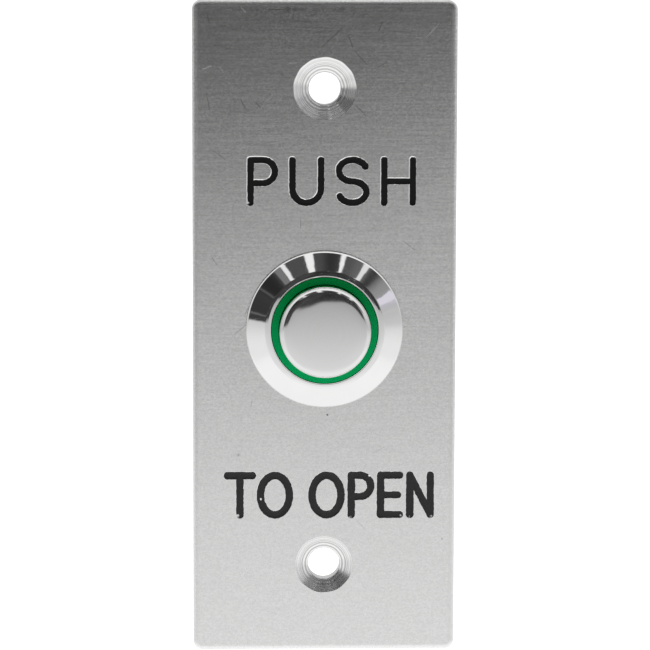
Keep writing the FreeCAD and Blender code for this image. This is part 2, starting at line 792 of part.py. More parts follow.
def make_strip(label, corners, middle, width):
    """A stamped contact strip: its bent side view, given its width about a plane of constant Z."""
    body = new_body(label)
    sketch = new_sketch(body, label + "_side_view", "XY_Plane", middle)
    outline(sketch, corners)
    extrude(body, label + "_strip", sketch, width, middle=True)
    return body


def pierce_eyelet(body, name, role, across):
    """Pierce the solder eyelet near the end of a tab, across the tab's thickness."""
    sketch = new_sketch(body, name, role)
    depth = f"({TAB_END} - Sizes.eyelet_inset)"
    if role == "YZ_Plane":
        circle(sketch, "Sizes.eyelet_diameter / 2", depth, across)
    else:
        circle(sketch, "Sizes.eyelet_diameter / 2", across, depth)
    eyelet = body.newObject("PartDesign::Pocket", name + "_hole")
    eyelet.Profile = sketch
    eyelet.Type = "ThroughAll"
    eyelet.Midplane = True
    doc.recompute()


def make_common_terminal():
    """The common strip on the left, with one finger in front of the bridge and one behind it."""
    finger = f"(-{SINGLE_OUTER} + Sizes.finger_length)"
    outer, inner = f"-{SINGLE_OUTER}", f"-{SINGLE_INNER}"
    rear_finger_back = f"({REAR_FINGER} + Sizes.strip_thickness)"
    body = make_strip(
        "terminal_common",
        [
            (outer, FRONT_FINGER),
            (finger, FRONT_FINGER),
            (finger, FRONT_TIP),
            (inner, FRONT_TIP),
            (inner, REAR_FINGER),
            (finger, REAR_FINGER),
            (finger, rear_finger_back),
            (inner, rear_finger_back),
            (inner, TAB_END),
            (outer, TAB_END),
        ],
        "0",
        "Sizes.strip_width",
    )
    pierce_eyelet(body, "common_eyelet", "YZ_Plane", "0")
    return body


def make_switched_terminal(label, finger_front, side):
    """A strip on the right with one finger: normally closed above, normally open below."""
    finger = f"({PAIR_OUTER} - Sizes.finger_length)"
    finger_back = f"({finger_front} + Sizes.strip_thickness)"
    middle = f"{side}Sizes.contact_offset"
    body = make_strip(
        label,
        [
            (finger, finger_front),
            (PAIR_OUTER, finger_front),
            (PAIR_OUTER, TAB_END),
            (PAIR_INNER, TAB_END),
            (PAIR_INNER, finger_back),
            (finger, finger_back),
        ],
        middle,
        "Sizes.strip_width",
    )
    pierce_eyelet(body, label + "_eyelet", "YZ_Plane", middle)
    return body


def make_lamp_terminal(label, side):
    """A lamp strip: a wide tab at the back that narrows to a pin through the board."""
    half, pin = "(Sizes.lamp_strip_width / 2)", "(Sizes.lamp_pin_width / 2)"
    pin_end = f"({BOARD_FRONT} - Sizes.lamp_pin_reach)"
    middle = f"{side}({LAMP_STRIP_NEAR} + Sizes.strip_thickness / 2)"
    body = make_strip(
        label,
        [
            (f"-{half}", HOUSING_FRONT),
            (f"-{pin}", HOUSING_FRONT),
            (f"-{pin}", pin_end),
            (pin, pin_end),
            (pin, HOUSING_FRONT),
            (half, HOUSING_FRONT),
            (half, TAB_END),
            (f"-{half}", TAB_END),
        ],
        middle,
        "Sizes.strip_thickness",
    )
    pierce_eyelet(body, label + "_eyelet", "XY_Plane", "0")
    return body


def make_resin():
    """The sealing resin that fills the recess round the five tabs."""
    body = new_body("sealing_resin")
    turn(body, "resin_disc", [("0", RESIN_FRONT), (RESIN, RESIN_FRONT), (RESIN, BASE_BACK), ("0", BASE_BACK)])
    pair_low = f"(Sizes.contact_offset - {STRIP_HALF})"
    pair_high = f"(Sizes.contact_offset + {STRIP_HALF})"
    half = "(Sizes.lamp_strip_width / 2)"
    for name, left, right, low, high in (
        ("round_common", f"-{SINGLE_OUTER}", f"-{SINGLE_INNER}", f"-{STRIP_HALF}", STRIP_HALF),
        ("round_closed", PAIR_INNER, PAIR_OUTER, pair_low, pair_high),
        ("round_open", PAIR_INNER, PAIR_OUTER, f"-{pair_high}", f"-{pair_low}"),
        ("round_lamp_plus", f"-{half}", half, LAMP_STRIP_NEAR, LAMP_STRIP_FAR),
        ("round_lamp_minus", f"-{half}", half, f"-{LAMP_STRIP_FAR}", f"-{LAMP_STRIP_NEAR}"),
    ):
        sketch = section_sketch(body, name + "_outline", RESIN_FRONT)
        rectangle(sketch, left, right, low, high)
        cut_back(body, name, sketch, "Sizes.resin_depth")
    return body


def make_bridge():
    """The moving contact bridge: a collar on the stem with one wing left and a wide one right."""
    body = new_body("contact_bridge")
    reach_left = f"({SINGLE_INNER} - Sizes.bridge_gap)"
    reach_right = f"({PAIR_INNER} - Sizes.bridge_gap)"
    collar = section_sketch(body, "bridge_collar_outline", BRIDGE_FRONT)
    circle(collar, f"{STEM_TAIL} + Sizes.bridge_collar")
    pad_back(body, "bridge_collar_plate", collar, "Sizes.bridge_thickness")
    for name, left, right, half in (
        ("left_wing", f"-{reach_left}", "0", STRIP_HALF),
        ("right_wing", "0", reach_right, f"(Sizes.contact_offset + Sizes.tip_diameter / 2 + Sizes.fit_gap)"),
    ):
        sketch = section_sketch(body, name + "_outline", BRIDGE_FRONT)
        rectangle(sketch, left, right, f"-{half}", half)
        pad_back(body, name, sketch, "Sizes.bridge_thickness")
    hole = section_sketch(body, "bridge_hole_outline", BRIDGE_FRONT)
    circle(hole, f"{STEM_TAIL} + Sizes.fit_gap / 2")
    cut_back(body, "bridge_hole", hole, "Sizes.bridge_thickness")
    return body


def make_clip():
    """The slotted push-on clip that holds the bridge on the stem's tail."""
    body = new_body("bridge_clip")
    inner, outer = f"({STEM_TAIL} + Sizes.fit_gap / 2)", f"({STEM_TAIL} + Sizes.clip_width)"
    back = f"({BRIDGE_BACK} + Sizes.clip_thickness)"
    turn(body, "clip_ring", [(inner, BRIDGE_BACK), (outer, BRIDGE_BACK), (outer, back), (inner, back)])
    slot = section_sketch(body, "clip_slot_outline", BRIDGE_BACK)
    half = "(Sizes.clip_slot / 2)"
    rectangle(slot, f"-{half}", half, f"-2 * {outer}", "0")
    cut_back(body, "clip_opening", slot, "Sizes.clip_thickness")
    return body


def tip(name, x, depth, z):
    """A round contact tip that stands on a strip or on the bridge."""
    rivet = doc.addObject("Part::Cylinder", name)
    rivet.setExpression("Radius", "Sizes.tip_diameter / 2")
    rivet.setExpression("Height", "Sizes.tip_height")
    rivet.Placement.Rotation = FreeCAD.Rotation(Vector(1, 0, 0), -90)
    for axis, coordinate in zip("xyz", (x, depth, z)):
        rivet.setExpression(f".Placement.Base.{axis}", coordinate)
    return rivet


def make_tips():
    """The silver tips: four on the fixed fingers and four on the bridge, facing each other."""
    inset = "(Sizes.tip_diameter / 2 + Sizes.fit_gap)"
    left = f"(-{SINGLE_OUTER} + Sizes.finger_length - {inset})"
    right = f"({PAIR_OUTER} - Sizes.finger_length + {inset})"
    up, down = "Sizes.contact_offset", "-Sizes.contact_offset"
    fixed = [
        tip("common_front_tip", left, FRONT_TIP, "0"),
        tip("common_rear_tip", left, REAR_TIP, "0"),
        tip("closed_tip", right, FRONT_TIP, up),
        tip("open_tip", right, REAR_TIP, down),
    ]
    moving_front = f"({BRIDGE_FRONT} - Sizes.tip_height)"
    moving = [
        tip("bridge_left_front_tip", left, moving_front, "0"),
        tip("bridge_left_rear_tip", left, BRIDGE_BACK, "0"),
        tip("bridge_closed_tip", right, moving_front, up),
        tip("bridge_open_tip", right, BRIDGE_BACK, down),
    ]
    return [gather("fixed_contact_tips", fixed), gather("bridge_contact_tips", moving)]


def make_washer():
    """The lock washer: a flat band with teeth that point in to the barrel."""
    body = new_body("lock_washer")
    thickness = "Sizes.washer_thickness"
    band = [(WASHER_BAND, "0"), (WASHER, "0"), (WASHER, thickness), (WASHER_BAND, thickness)]
    turn(body, "washer_ring", band)
    root_half, tip_half = "(Sizes.tooth_width / 2)", "(Sizes.tooth_tip_width / 2)"
    root, point = f"({WASHER_BAND} + Sizes.washer_band / 2)", PANEL_HOLE
    tooth = section_sketch(body, "tooth_outline", "0")
    outline(tooth, [(f"-{root_half}", root), (f"-{tip_half}", point), (tip_half, point), (root_half, root)])
    first = pad_back(body, "tooth", tooth, "Sizes.washer_thickness")
    polar_copies(body, "teeth", first, tooth, "Sizes.washer_teeth")
    return body


def make_nut():
    """The thin hex nut, with its corners turned off at both faces."""
    body = new_body("panel_nut")
    front, back = "Sizes.washer_thickness", "(Sizes.washer_thickness + Sizes.nut_thickness)"
    flats = section_sketch(body, "hexagon", front)
    turns = [f"({angle} deg)" for angle in range(0, 360, 60)]
    outline(flats, [(f"{NUT_CORNER} * cos{turn}", f"{NUT_CORNER} * sin{turn}") for turn in turns])
    pad_back(body, "nut_blank", flats, "Sizes.nut_thickness")
    bore = section_sketch(body, "nut_bore_outline", front)
    circle(bore, f"{THREAD} + Sizes.thread_gap")
    cut_back(body, "nut_bore", bore, "Sizes.nut_thickness")
    beyond = f"({NUT_CORNER} + Sizes.nut_chamfer)"
    slope = f"(Sizes.nut_chamfer * ({beyond} - {NUT_FLAT}) / ({NUT_CORNER} - {NUT_FLAT}))"
    for name, face, inward in (("front_corners", front, "+"), ("rear_corners", back, "-")):
        turn(
            body,
            name,
            [(NUT_FLAT, face), (beyond, face), (beyond, f"{face} {inward} {slope}")],
            "PartDesign::Groove",
        )
    return body


def check_document():
    """Stop if any object failed, or if a cut or pad changed nothing."""
    failed = [o.Name for o in doc.Objects if "Invalid" in o.State or "Error" in o.State]
    if failed:
        raise RuntimeError(f"these objects failed to build: {failed}")
    for feature in doc.Objects:
        base = getattr(feature, "BaseFeature", None)
        if feature.isDerivedFrom("PartDesign::Body") or base is None:
            continue
        if abs(feature.Shape.Volume - base.Shape.Volume) < 1e-6:
            raise RuntimeError(f"{feature.Name} changed nothing")


def write_parts(pieces):
    os.makedirs("parts", exist_ok=True)
    for piece in pieces:
        shape = piece.Shape
        if shape.isNull() or not shape.isValid():
            raise RuntimeError(f"{piece.Label} has no valid shape")
        shape.exportStep(os.path.join("parts", piece.Label + ".step"))
        print(f"{piece.Label}: {len(shape.Solids)} solid(s), {shape.Volume:.2f} mm3")


fill_sheet()
pieces = [
    make_faceplate(),
    make_bezel(),
    make_gasket(),
    make_light_ring(),
    make_cap(),
    make_carrier(),
    make_seal(),
    make_stem(),
    make_spring(),
    make_lamp_board(),
    make_lamps(),
    make_resistors(),
    make_contact_housing(),
    make_terminal_base(),
    make_common_terminal(),
    make_switched_terminal("terminal_normally_closed", FRONT_FINGER, ""),
    make_switched_terminal("terminal_normally_open", REAR_FINGER, "-"),
    make_lamp_terminal("terminal_lamp_plus", ""),
    make_lamp_terminal("terminal_lamp_minus", "-"),
    make_resin(),
    make_bridge(),
    make_clip(),
    *make_tips(),
    make_washer(),
    make_nut(),
]
doc.recompute()
check_document()
write_parts(pieces)
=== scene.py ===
# %% [markdown]
# # A door exit button
#
# The real thing is a narrow brushed steel plate with a metal push button in its middle. The
# button's head is turned and polished like a small mirror, so most of what one sees on it is the
# studio around it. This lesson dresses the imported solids: it rebuilds the pieces whose curves
# have to be smooth enough to reflect, cuts the lettering, and gives every piece its finish.

# %% Load the frame
import functools
import json
import math
import random

import bmesh
import bpy
from mathutils import Matrix, Vector

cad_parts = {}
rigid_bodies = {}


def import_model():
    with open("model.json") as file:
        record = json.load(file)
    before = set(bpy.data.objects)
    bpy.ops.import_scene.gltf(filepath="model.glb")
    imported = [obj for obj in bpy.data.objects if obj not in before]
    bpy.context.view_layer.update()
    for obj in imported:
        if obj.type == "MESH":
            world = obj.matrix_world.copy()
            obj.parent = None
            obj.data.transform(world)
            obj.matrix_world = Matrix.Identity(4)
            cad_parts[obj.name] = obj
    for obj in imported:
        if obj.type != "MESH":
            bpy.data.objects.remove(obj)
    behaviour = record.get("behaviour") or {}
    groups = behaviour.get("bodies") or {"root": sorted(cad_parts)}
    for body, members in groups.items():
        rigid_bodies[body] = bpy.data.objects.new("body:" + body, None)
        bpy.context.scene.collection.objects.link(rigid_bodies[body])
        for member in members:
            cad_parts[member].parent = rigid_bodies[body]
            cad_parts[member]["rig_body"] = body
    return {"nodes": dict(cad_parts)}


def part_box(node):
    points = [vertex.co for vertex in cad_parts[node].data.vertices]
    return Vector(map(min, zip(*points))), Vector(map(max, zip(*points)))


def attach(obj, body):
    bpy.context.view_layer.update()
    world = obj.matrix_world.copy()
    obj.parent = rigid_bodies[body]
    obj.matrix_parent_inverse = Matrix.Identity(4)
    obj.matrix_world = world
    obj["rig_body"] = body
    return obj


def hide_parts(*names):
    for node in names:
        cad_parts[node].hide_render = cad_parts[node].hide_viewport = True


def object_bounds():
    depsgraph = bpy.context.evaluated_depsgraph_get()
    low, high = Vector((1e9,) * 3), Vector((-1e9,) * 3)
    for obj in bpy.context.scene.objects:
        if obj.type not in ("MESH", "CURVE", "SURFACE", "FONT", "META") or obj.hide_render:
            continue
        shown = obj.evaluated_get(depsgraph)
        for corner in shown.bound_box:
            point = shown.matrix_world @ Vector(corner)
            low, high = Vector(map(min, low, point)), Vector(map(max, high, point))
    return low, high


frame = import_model()
solids_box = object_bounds()
nodes = frame["nodes"]
MM = 0.001


# %% Helper: meshes and objects
def mesh_from(name, shape):
    """A mesh from a bmesh, which is freed."""
    mesh = bpy.data.meshes.new(name)
    shape.to_mesh(mesh)
    shape.free()
    return mesh


def add_object(name, data):
    """An object at the origin, linked to the scene."""
    item = bpy.data.objects.new(name, data)
    bpy.context.scene.collection.objects.link(item)
    return item


def evaluated_mesh(item):
    """The mesh that an object has with its modifier or its bevel."""
    bpy.context.view_layer.update()
    evaluated = item.evaluated_get(bpy.context.evaluated_depsgraph_get())
    return bpy.data.meshes.new_from_object(evaluated)


# %% [markdown]
# ## The camera
#
# The photograph was taken from about half a metre, a little above the button and slightly to its
# left, because the cap stands lower and further right in the picture than the head behind it.
# The camera is placed by those angles and turned a hair, so that the plate leans as it does there.

# %% Camera
PHOTO_DISTANCE = 0.470
PHOTO_ELEVATION = math.radians(7.41)
PHOTO_AZIMUTH = math.radians(-1.93)
PHOTO_ROLL = math.radians(0.137)
PICTURE_PIXELS, PIXELS_PER_METRE = 650, 7116
LOOK_AT = Vector((0.000086, -0.003, 0.00053))

back = Vector((
    math.sin(PHOTO_AZIMUTH) * math.cos(PHOTO_ELEVATION),
    -math.cos(PHOTO_AZIMUTH) * math.cos(PHOTO_ELEVATION),
    math.sin(PHOTO_ELEVATION),
))
right = Vector((math.cos(PHOTO_AZIMUTH), math.sin(PHOTO_AZIMUTH), 0))
up = back.cross(right)
camera = add_object("camera", bpy.data.cameras.new("camera"))
camera.data.sensor_fit = "HORIZONTAL"
camera.data.angle = 2 * math.atan(PICTURE_PIXELS / PIXELS_PER_METRE / 2 / PHOTO_DISTANCE)
camera.data.clip_start = 0.01
turned_axes = Matrix((right, up, back)).transposed() @ Matrix.Rotation(PHOTO_ROLL, 3, "Z")
camera.matrix_world = Matrix.Translation(LOOK_AT + back * PHOTO_DISTANCE) @ turned_axes.to_4x4()
bpy.context.scene.camera = camera
print("camera at", [round(v, 4) for v in camera.matrix_world.translation])

# %% [markdown]
# ## Making a piece
#
# Each new piece starts as a bmesh, becomes a mesh at the origin, is shaded smooth with its hard
# edges marked, rides on the body of the solid it stands for, and hides that solid.


# %% Helper: from bmesh to a riding piece
def finish_piece(name, shape, node, hard_angle=30):
    """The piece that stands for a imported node, riding on that node's body."""
    bmesh.ops.recalc_face_normals(shape, faces=shape.faces)
    return place_mesh(name, mesh_from(name, shape), node, hard_angle)


def place_mesh(name, mesh, node, hard_angle=30):
    """Shade a mesh smooth between its hard edges, and make it the piece for a node."""
    for polygon in mesh.polygons:
        polygon.use_smooth = True
    mesh.set_sharp_from_angle(angle=math.radians(hard_angle))
    piece = add_object(name, mesh)
    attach(piece, nodes[node]["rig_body"])
    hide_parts(node)
    print(f"{name}: {len(mesh.polygons)} faces for {node}")
    return piece


# %% [markdown]
# ## Turned profiles
#
# Most pieces of the switch were made on a lathe, so they are a half section spun round the
# button's axis, which is Y. A section is written as corners in millimetres, each with the radius
# of its rounding. Beside each rounding a second ring of points is set close by: it keeps the
# bend of the shading inside the rounding, so that a flat or a cone next to it reflects cleanly.

# %% Helper: rounded sections and the lathe
ROUNDING_STEPS = 10
HOLD = 0.015


def rounded_corner(before, corner, after, radius):
    """The points that replace a corner: an arc and one holding point on each side of it."""
    into, out = (before - corner).normalized(), (after - corner).normalized()
    half = into.angle(out) / 2
    reach = radius / math.tan(half)
    centre = corner + (into + out).normalized() * radius / math.sin(half)
    start, end = corner + into * reach - centre, corner + out * reach - centre
    turn = start.angle(end)
    if start.cross(end).z < 0:
        turn = -turn
    turns = [turn * k / ROUNDING_STEPS for k in range(ROUNDING_STEPS + 1)]
    arc = [centre + Matrix.Rotation(angle, 3, "Z") @ start for angle in turns]
    return [arc[0] + into * HOLD, *arc, arc[-1] + out * HOLD]


def section(corners, closed=True):
    """Points of a section from (radius, depth) or (radius, depth, rounding) corners."""
    places = [Vector((c[0], c[1], 0)) for c in corners]
    points = []
    for index, corner in enumerate(corners):
        rounding = corner[2] if len(corner) == 3 else 0
        inside = closed or 0 < index < len(corners) - 1
        if rounding and inside:
            before, after = places[index - 1], places[(index + 1) % len(places)]
            points += rounded_corner(before, places[index], after, rounding)
        else:
            points.append(places[index])
    return points


def spin(shape, geom, angle, steps, merge):
    """Spin a part of the shape round the button's axis."""
    bmesh.ops.spin(
        shape,
        geom=geom,
        cent=(0, 0, 0),
        axis=(0, 1, 0),
        dvec=(0, 0, 0),
        angle=angle,
        steps=steps,
        use_merge=merge,
        use_duplicate=False,
    )


def lathe(points, steps=256, closed=True):
    """Spin a section round the Y axis into a closed shape, in metres."""
    shape = bmesh.new()
    rail = [shape.verts.new(point * MM) for point in points]
    pairs = list(zip(rail, rail[1:] + rail[:1])) if closed else list(zip(rail, rail[1:]))
    edges = [shape.edges.new(pair) for pair in pairs]
    spin(shape, rail + edges, math.tau, steps, True)
    bmesh.ops.remove_doubles(shape, verts=shape.verts, dist=1e-7)
    return shape


# %% [markdown]
# ## The bezel
#
# The head is one polished piece with the barrel. From outside in it has a rounded edge, a cone of
# 24 degrees and a lip that grows flatter inwards and rolls over into the mouth. Cone and lip meet
# in a soft bend, so their reflections run into each other. The barrel behind it is threaded. The
# thread is cut after the spin: every point of the barrel's skin is pulled inwards by how far it is
# along the screw's turn.

# %% Bezel section
PLATE_FRONT = -3.0
LIP_TOP = -5.06
MOUTH_RADIUS = 7.5
HEAD_RADIUS = 11.05
THREAD_RADIUS = 9.5
THREAD_START, THREAD_END = -2.4, 10.5
BORE_RADIUS = 8.2
BARREL_END = 11.0
SHOULDER = -2.2
RECESS_RADIUS, RECESS_DEPTH = 10.46, -3.6
ROWS_PER_TURN = 8
thread_rows = int((THREAD_END - THREAD_START) * ROWS_PER_TURN)
barrel_skin = [
    (THREAD_RADIUS, THREAD_START + (THREAD_END - THREAD_START) * row / thread_rows)
    for row in range(thread_rows + 1)
]
bezel_section = section([
    (MOUTH_RADIUS, LIP_TOP, 0.19),
    (8.0, -4.99, 2.5),
    (8.4, -4.91, 1.0),
    (HEAD_RADIUS, -3.75, 0.48),
    (HEAD_RADIUS, PLATE_FRONT, 0.06),
    (RECESS_RADIUS, PLATE_FRONT),
    (RECESS_RADIUS, RECESS_DEPTH),
    (THREAD_RADIUS, RECESS_DEPTH),
    *barrel_skin,
    (9.0, BARREL_END),
    (BORE_RADIUS, BARREL_END, 0.08),
    (BORE_RADIUS, SHOULDER),
    (MOUTH_RADIUS, SHOULDER, 0.05),
])
bezel_shape = lathe(bezel_section)

# %% Cut the thread
THREAD_PITCH = 1.0
THREAD_DEPTH = 0.54
RUN_OUT = 0.9


def eased(value, low, high):
    """0 below low, 1 above high and a soft step between."""
    t = min(max((value - low) / (high - low), 0), 1)
    return t * t * (3 - 2 * t)


for vertex in bezel_shape.verts:
    depth = vertex.co.y / MM
    radius = math.hypot(vertex.co.x, vertex.co.z) / MM
    if abs(radius - THREAD_RADIUS) > 1e-4 or not THREAD_START < depth < THREAD_END:
        continue
    turn = depth / THREAD_PITCH + math.atan2(vertex.co.z, vertex.co.x) / math.tau
    valley = eased(abs((turn % 1) * 2 - 1), 0.12, 0.88)
    run_out = eased(depth, THREAD_START, THREAD_START + RUN_OUT)
    run_out *= 1 - eased(depth, THREAD_END - RUN_OUT, THREAD_END)
    shrink = 1 - THREAD_DEPTH * valley * run_out / THREAD_RADIUS
    vertex.co.x *= shrink
    vertex.co.z *= shrink
bezel = finish_piece("polished_bezel", bezel_shape, "bezel_barrel", 50)

# %% [markdown]
# ## The button cap
#
# The cap is a turned cup. Its face looks flat but is faintly domed: that is why its grey gets
# lighter towards the bottom. Near the rim the dome rolls over into the side along a quarter of an
# ellipse. This roll squeezes the whole studio into a thin ring of dark and bright lines.

# %% Cap
CAP_RADIUS = 6.4
CAP_RIM = -7.9
CAP_DOME = 0.3
CAP_SAG = 0.22
ROLL_START = 5.7
ROLL_DEPTH = 0.614
CAP_BACK = -2.45
CUP_RADIUS, CUP_FLOOR = 5.4, -6.6
FACE_RINGS = 26
ROLL_RINGS = 44


def dome_depth(radius):
    """The dome's depth: a shallow bowl that sags a little more towards its rim."""
    share = radius / CAP_RADIUS
    return CAP_RIM - CAP_DOME * (1 - share**2) + CAP_SAG * share**9


cap_points = [
    Vector((ROLL_START * k / FACE_RINGS, dome_depth(ROLL_START * k / FACE_RINGS), 0))
    for k in range(FACE_RINGS + 1)
]
for step in range(1, ROLL_RINGS + 1):
    around = math.radians(90 * step / ROLL_RINGS)
    roll_radius = ROLL_START + (CAP_RADIUS - ROLL_START) * math.sin(around)
    roll = ROLL_DEPTH * (1 - math.cos(around))
    cap_points.append(Vector((roll_radius, dome_depth(roll_radius) + roll, 0)))
cap_points += section([
    (CAP_RADIUS, -5.0),
    (CAP_RADIUS, CAP_BACK, 0.08),
    (CUP_RADIUS, CAP_BACK, 0.08),
    (CUP_RADIUS, CUP_FLOOR, 0.2),
    (0, CUP_FLOOR),
], closed=False)
cap = finish_piece("turned_cap", lathe(cap_points, closed=False), "button_cap")

# %% [markdown]
# ## The light ring
#
# The green ring is the front of a moulded light guide. The guide is wider behind the bezel's
# shoulder, so that it can't fall out, and stands on four legs on the lamp board. The ring is
# spun like the rest, and each leg is a small section spun through a part of a turn.

# %% Light ring
RING_INNER, RING_OUTER = 6.46, 7.45
LEG_INNER, GUIDE_OUTER = 7.15, 8.15
RING_FRONT = -5.0
GUIDE_BACK = 2.6
LEG_END = 3.8
LEG_ANGLE = math.radians(24)
ring_points = section([
    (RING_INNER, RING_FRONT, 0.12),
    (RING_OUTER, RING_FRONT, 0.12),
    (RING_OUTER, SHOULDER),
    (GUIDE_OUTER, SHOULDER, 0.1),
    (GUIDE_OUTER, GUIDE_BACK, 0.1),
    (RING_INNER, GUIDE_BACK, 0.1),
])
ring_shape = lathe(ring_points)


def add_leg(shape, middle_angle):
    """One leg of the guide: a face spun through the leg's angle."""
    inner, outer = LEG_INNER, GUIDE_OUTER
    corners = [(inner, GUIDE_BACK), (outer, GUIDE_BACK), (outer, LEG_END), (inner, LEG_END)]
    turn = Matrix.Rotation(middle_angle - LEG_ANGLE / 2, 3, "Y")
    verts = [shape.verts.new(turn @ (Vector((r, d, 0)) * MM)) for r, d in corners]
    spin(shape, [shape.faces.new(verts)], LEG_ANGLE, 8, False)


for quarter in range(4):
    add_leg(ring_shape, quarter * math.pi / 2)
ring = finish_piece("green_light_ring", ring_shape, "light_ring")

# %% [markdown]
# ## Engraved letters
#
# The plate's letters are cut with a round-nosed engraving tool and filled with black paint. Each
# stroke of a letter is the path of the tool's centre. A curve with a round bevel sweeps the tool
# along it, and a boolean takes the swept shape out of the plate. The points at a stroke's ends get
# smaller radii, which closes the sweep with the tool's round nose. The paint fills the bottom of
# the groove to a level, so the sweep is flattened there. Strokes that meet are cut one
# after the other, a few hundredths of a millimetre less deep each time, so that no two cuts share
# a surface.

# %% Letter strokes
ARC_STEP = 6.0


def arc(centre_x, centre_z, radius_x, radius_z, start, end):
    """Points on an ellipse from one angle to another, in degrees."""
    steps = math.ceil(abs(end - start) / ARC_STEP)
    angles = [math.radians(start + (end - start) * k / steps) for k in range(steps + 1)]
    return [(centre_x + radius_x * math.cos(a), centre_z + radius_z * math.sin(a)) for a in angles]


def letter_strokes(letter, width, high):
    """The strokes of one letter, from its lower left corner, as lists of (x, z) points."""
    middle, bowl, head = high / 2, high / 4, high * 0.27
    half = width / 2
    stem = [(0, 0), (0, high)]
    far_stem, top = [(width, 0), (width, high)], [(0, high), (width, high)]
    round_head = arc(width - head, high - head, head, head, 90, -90)
    upper_bowl = arc(half, high - bowl, half, bowl, 22, 270)
    lower_bowl = arc(half, bowl, half, bowl, 90, -158)
    return {
        "P": [stem, [(0, high), *round_head, (0, high - 2 * head)]],
        "U": [[(0, high), *arc(half, half, half, half, 180, 360), (width, high)]],
        "S": [upper_bowl + lower_bowl[1:]],
        "H": [stem, far_stem, [(0, middle), (width, middle)]],
        "T": [top, [(half, high), (half, 0)]],
        "O": [arc(half, middle, half, middle, 90, 450)],
        "E": [stem, top, [(0, 0), (width, 0)], [(0, middle), (width * 0.9, middle)]],
        "N": [stem, far_stem, [(0, high), (width, 0)]],
    }[letter]


# %% [markdown]
# The upper word and the lower words sit a little right of the plate's middle, as hand-set
# engraving often does. Their wording is plain and generic.

# %% Lay out the words
UPPER_WORD = [("P", 3.4, 2.45), ("U", 4.0, 2.5), ("S", 3.85, 2.5), ("H", 4.0, 0)]
LOWER_WORDS = [
    ("T", 3.5, 1.15), ("O", 4.1, 3.2), ("O", 4.1, 1.45), ("P", 2.75, 1.4), ("E", 2.7, 1.45),
    ("N", 2.9, 0),
]
UPPER_HEIGHT, LOWER_HEIGHT = 6.0, 5.64
UPPER_TOOL, LOWER_TOOL = 0.78, 0.91


def word_strokes(letters, middle_x, base_z, high, tool):
    """All strokes of a word, as (layer, points, tool). A layer is cut at once."""
    pen = middle_x - sum(width + gap for _, width, gap in letters) / 2
    found = []
    for letter, width, gap in letters:
        for layer, points in enumerate(letter_strokes(letter, width, high)):
            found.append((layer, [(pen + x, base_z + z) for x, z in points], tool))
        pen += width + gap
    return found


strokes = word_strokes(UPPER_WORD, 0.95, 17.8, UPPER_HEIGHT, UPPER_TOOL)
strokes += word_strokes(LOWER_WORDS, 0.7, -26.54, LOWER_HEIGHT, LOWER_TOOL)
CUTS = 1 + max(layer for layer, _, _ in strokes)
print("engraving:", len(strokes), "strokes in", CUTS, "cuts")

# %% Sweep the tool along a stroke
GROOVE_DEPTH = 0.22
PAINT_LEVEL = 0.13
DEPTH_STEP = 0.012
NOSE_STEPS = 7
NOSE_END = 0.02
STATION_GAP = 0.3
WOBBLE = 0.018
hand = random.Random(4)


def stations_along(path):
    """The path with more points on its straight runs, each with the tool's unsteady size."""
    places = [path[0]]
    for start, end in zip(path, path[1:]):
        steps = max(1, round((end - start).length / STATION_GAP))
        places += [start.lerp(end, k / steps) for k in range(1, steps + 1)]
    return [(place, 1 + hand.uniform(-WOBBLE, WOBBLE)) for place in places]


def tool_sweep(points, layer, tool):
    """A closed mesh of the tool swept along a stroke."""
    height = PLATE_FRONT - tool + GROOVE_DEPTH - DEPTH_STEP * layer
    path = [Vector((x, height, z)) for x, z in points]
    cyclic = (path[0] - path[-1]).length < 1e-6
    stations = stations_along(path)
    if cyclic:
        stations.pop()
    else:
        angles = [math.radians(90 * k / NOSE_STEPS) for k in range(NOSE_STEPS)]
        first, last = (path[0] - path[1]).normalized(), (path[-1] - path[-2]).normalized()
        nose = [(tool * math.cos(a), max(math.sin(a), NOSE_END)) for a in angles]
        head = [(path[0] + first * reach, size) for reach, size in nose]
        tail = [(path[-1] + last * reach, size) for reach, size in reversed(nose)]
        stations = head + stations + tail
    curve = bpy.data.curves.new("stroke", "CURVE")
    curve.dimensions = "3D"
    curve.bevel_depth = tool * MM
    curve.bevel_resolution = 10
    spline = curve.splines.new("POLY")
    spline.points.add(len(stations) - 1)
    for point, (place, size) in zip(spline.points, stations):
        point.co = (*(place * MM), 1)
        point.radius = size
    spline.use_cyclic_u = cyclic
    holder = add_object("stroke", curve)
    mesh = evaluated_mesh(holder)
    bpy.data.objects.remove(holder)
    bpy.data.curves.remove(curve)
    floor_level = (PLATE_FRONT + PAINT_LEVEL - DEPTH_STEP * layer) * MM
    for vertex in mesh.vertices:
        vertex.co.y = min(vertex.co.y, floor_level)
    return mesh


def cutter_from(shape, name):
    """A temporary object for a boolean, from a bmesh."""
    bmesh.ops.recalc_face_normals(shape, faces=shape.faces)
    return add_object(name, mesh_from(name, shape))


def layer_cutter(layer):
    """All strokes of one cut in one closed mesh."""
    shape = bmesh.new()
    for stroke_layer, points, tool in strokes:
        if stroke_layer == layer:
            mesh = tool_sweep(points, layer, tool)
            shape.from_mesh(mesh)
            bpy.data.meshes.remove(mesh)
    bmesh.ops.remove_doubles(shape, verts=shape.verts, dist=1e-8)
    bmesh.ops.holes_fill(shape, edges=[e for e in shape.edges if e.is_boundary])
    return cutter_from(shape, f"letters_{layer}")


# %% [markdown]
# ## The plate
#
# The plate starts as its back's outline. The outline is extruded loop by loop, each a little
# further in and further forward than the last, and the last one closes the front. The front edge
# was rounded and then brushed, so it rolls into the flat very softly: the loops follow a curve
# that is flatter than a circle there.

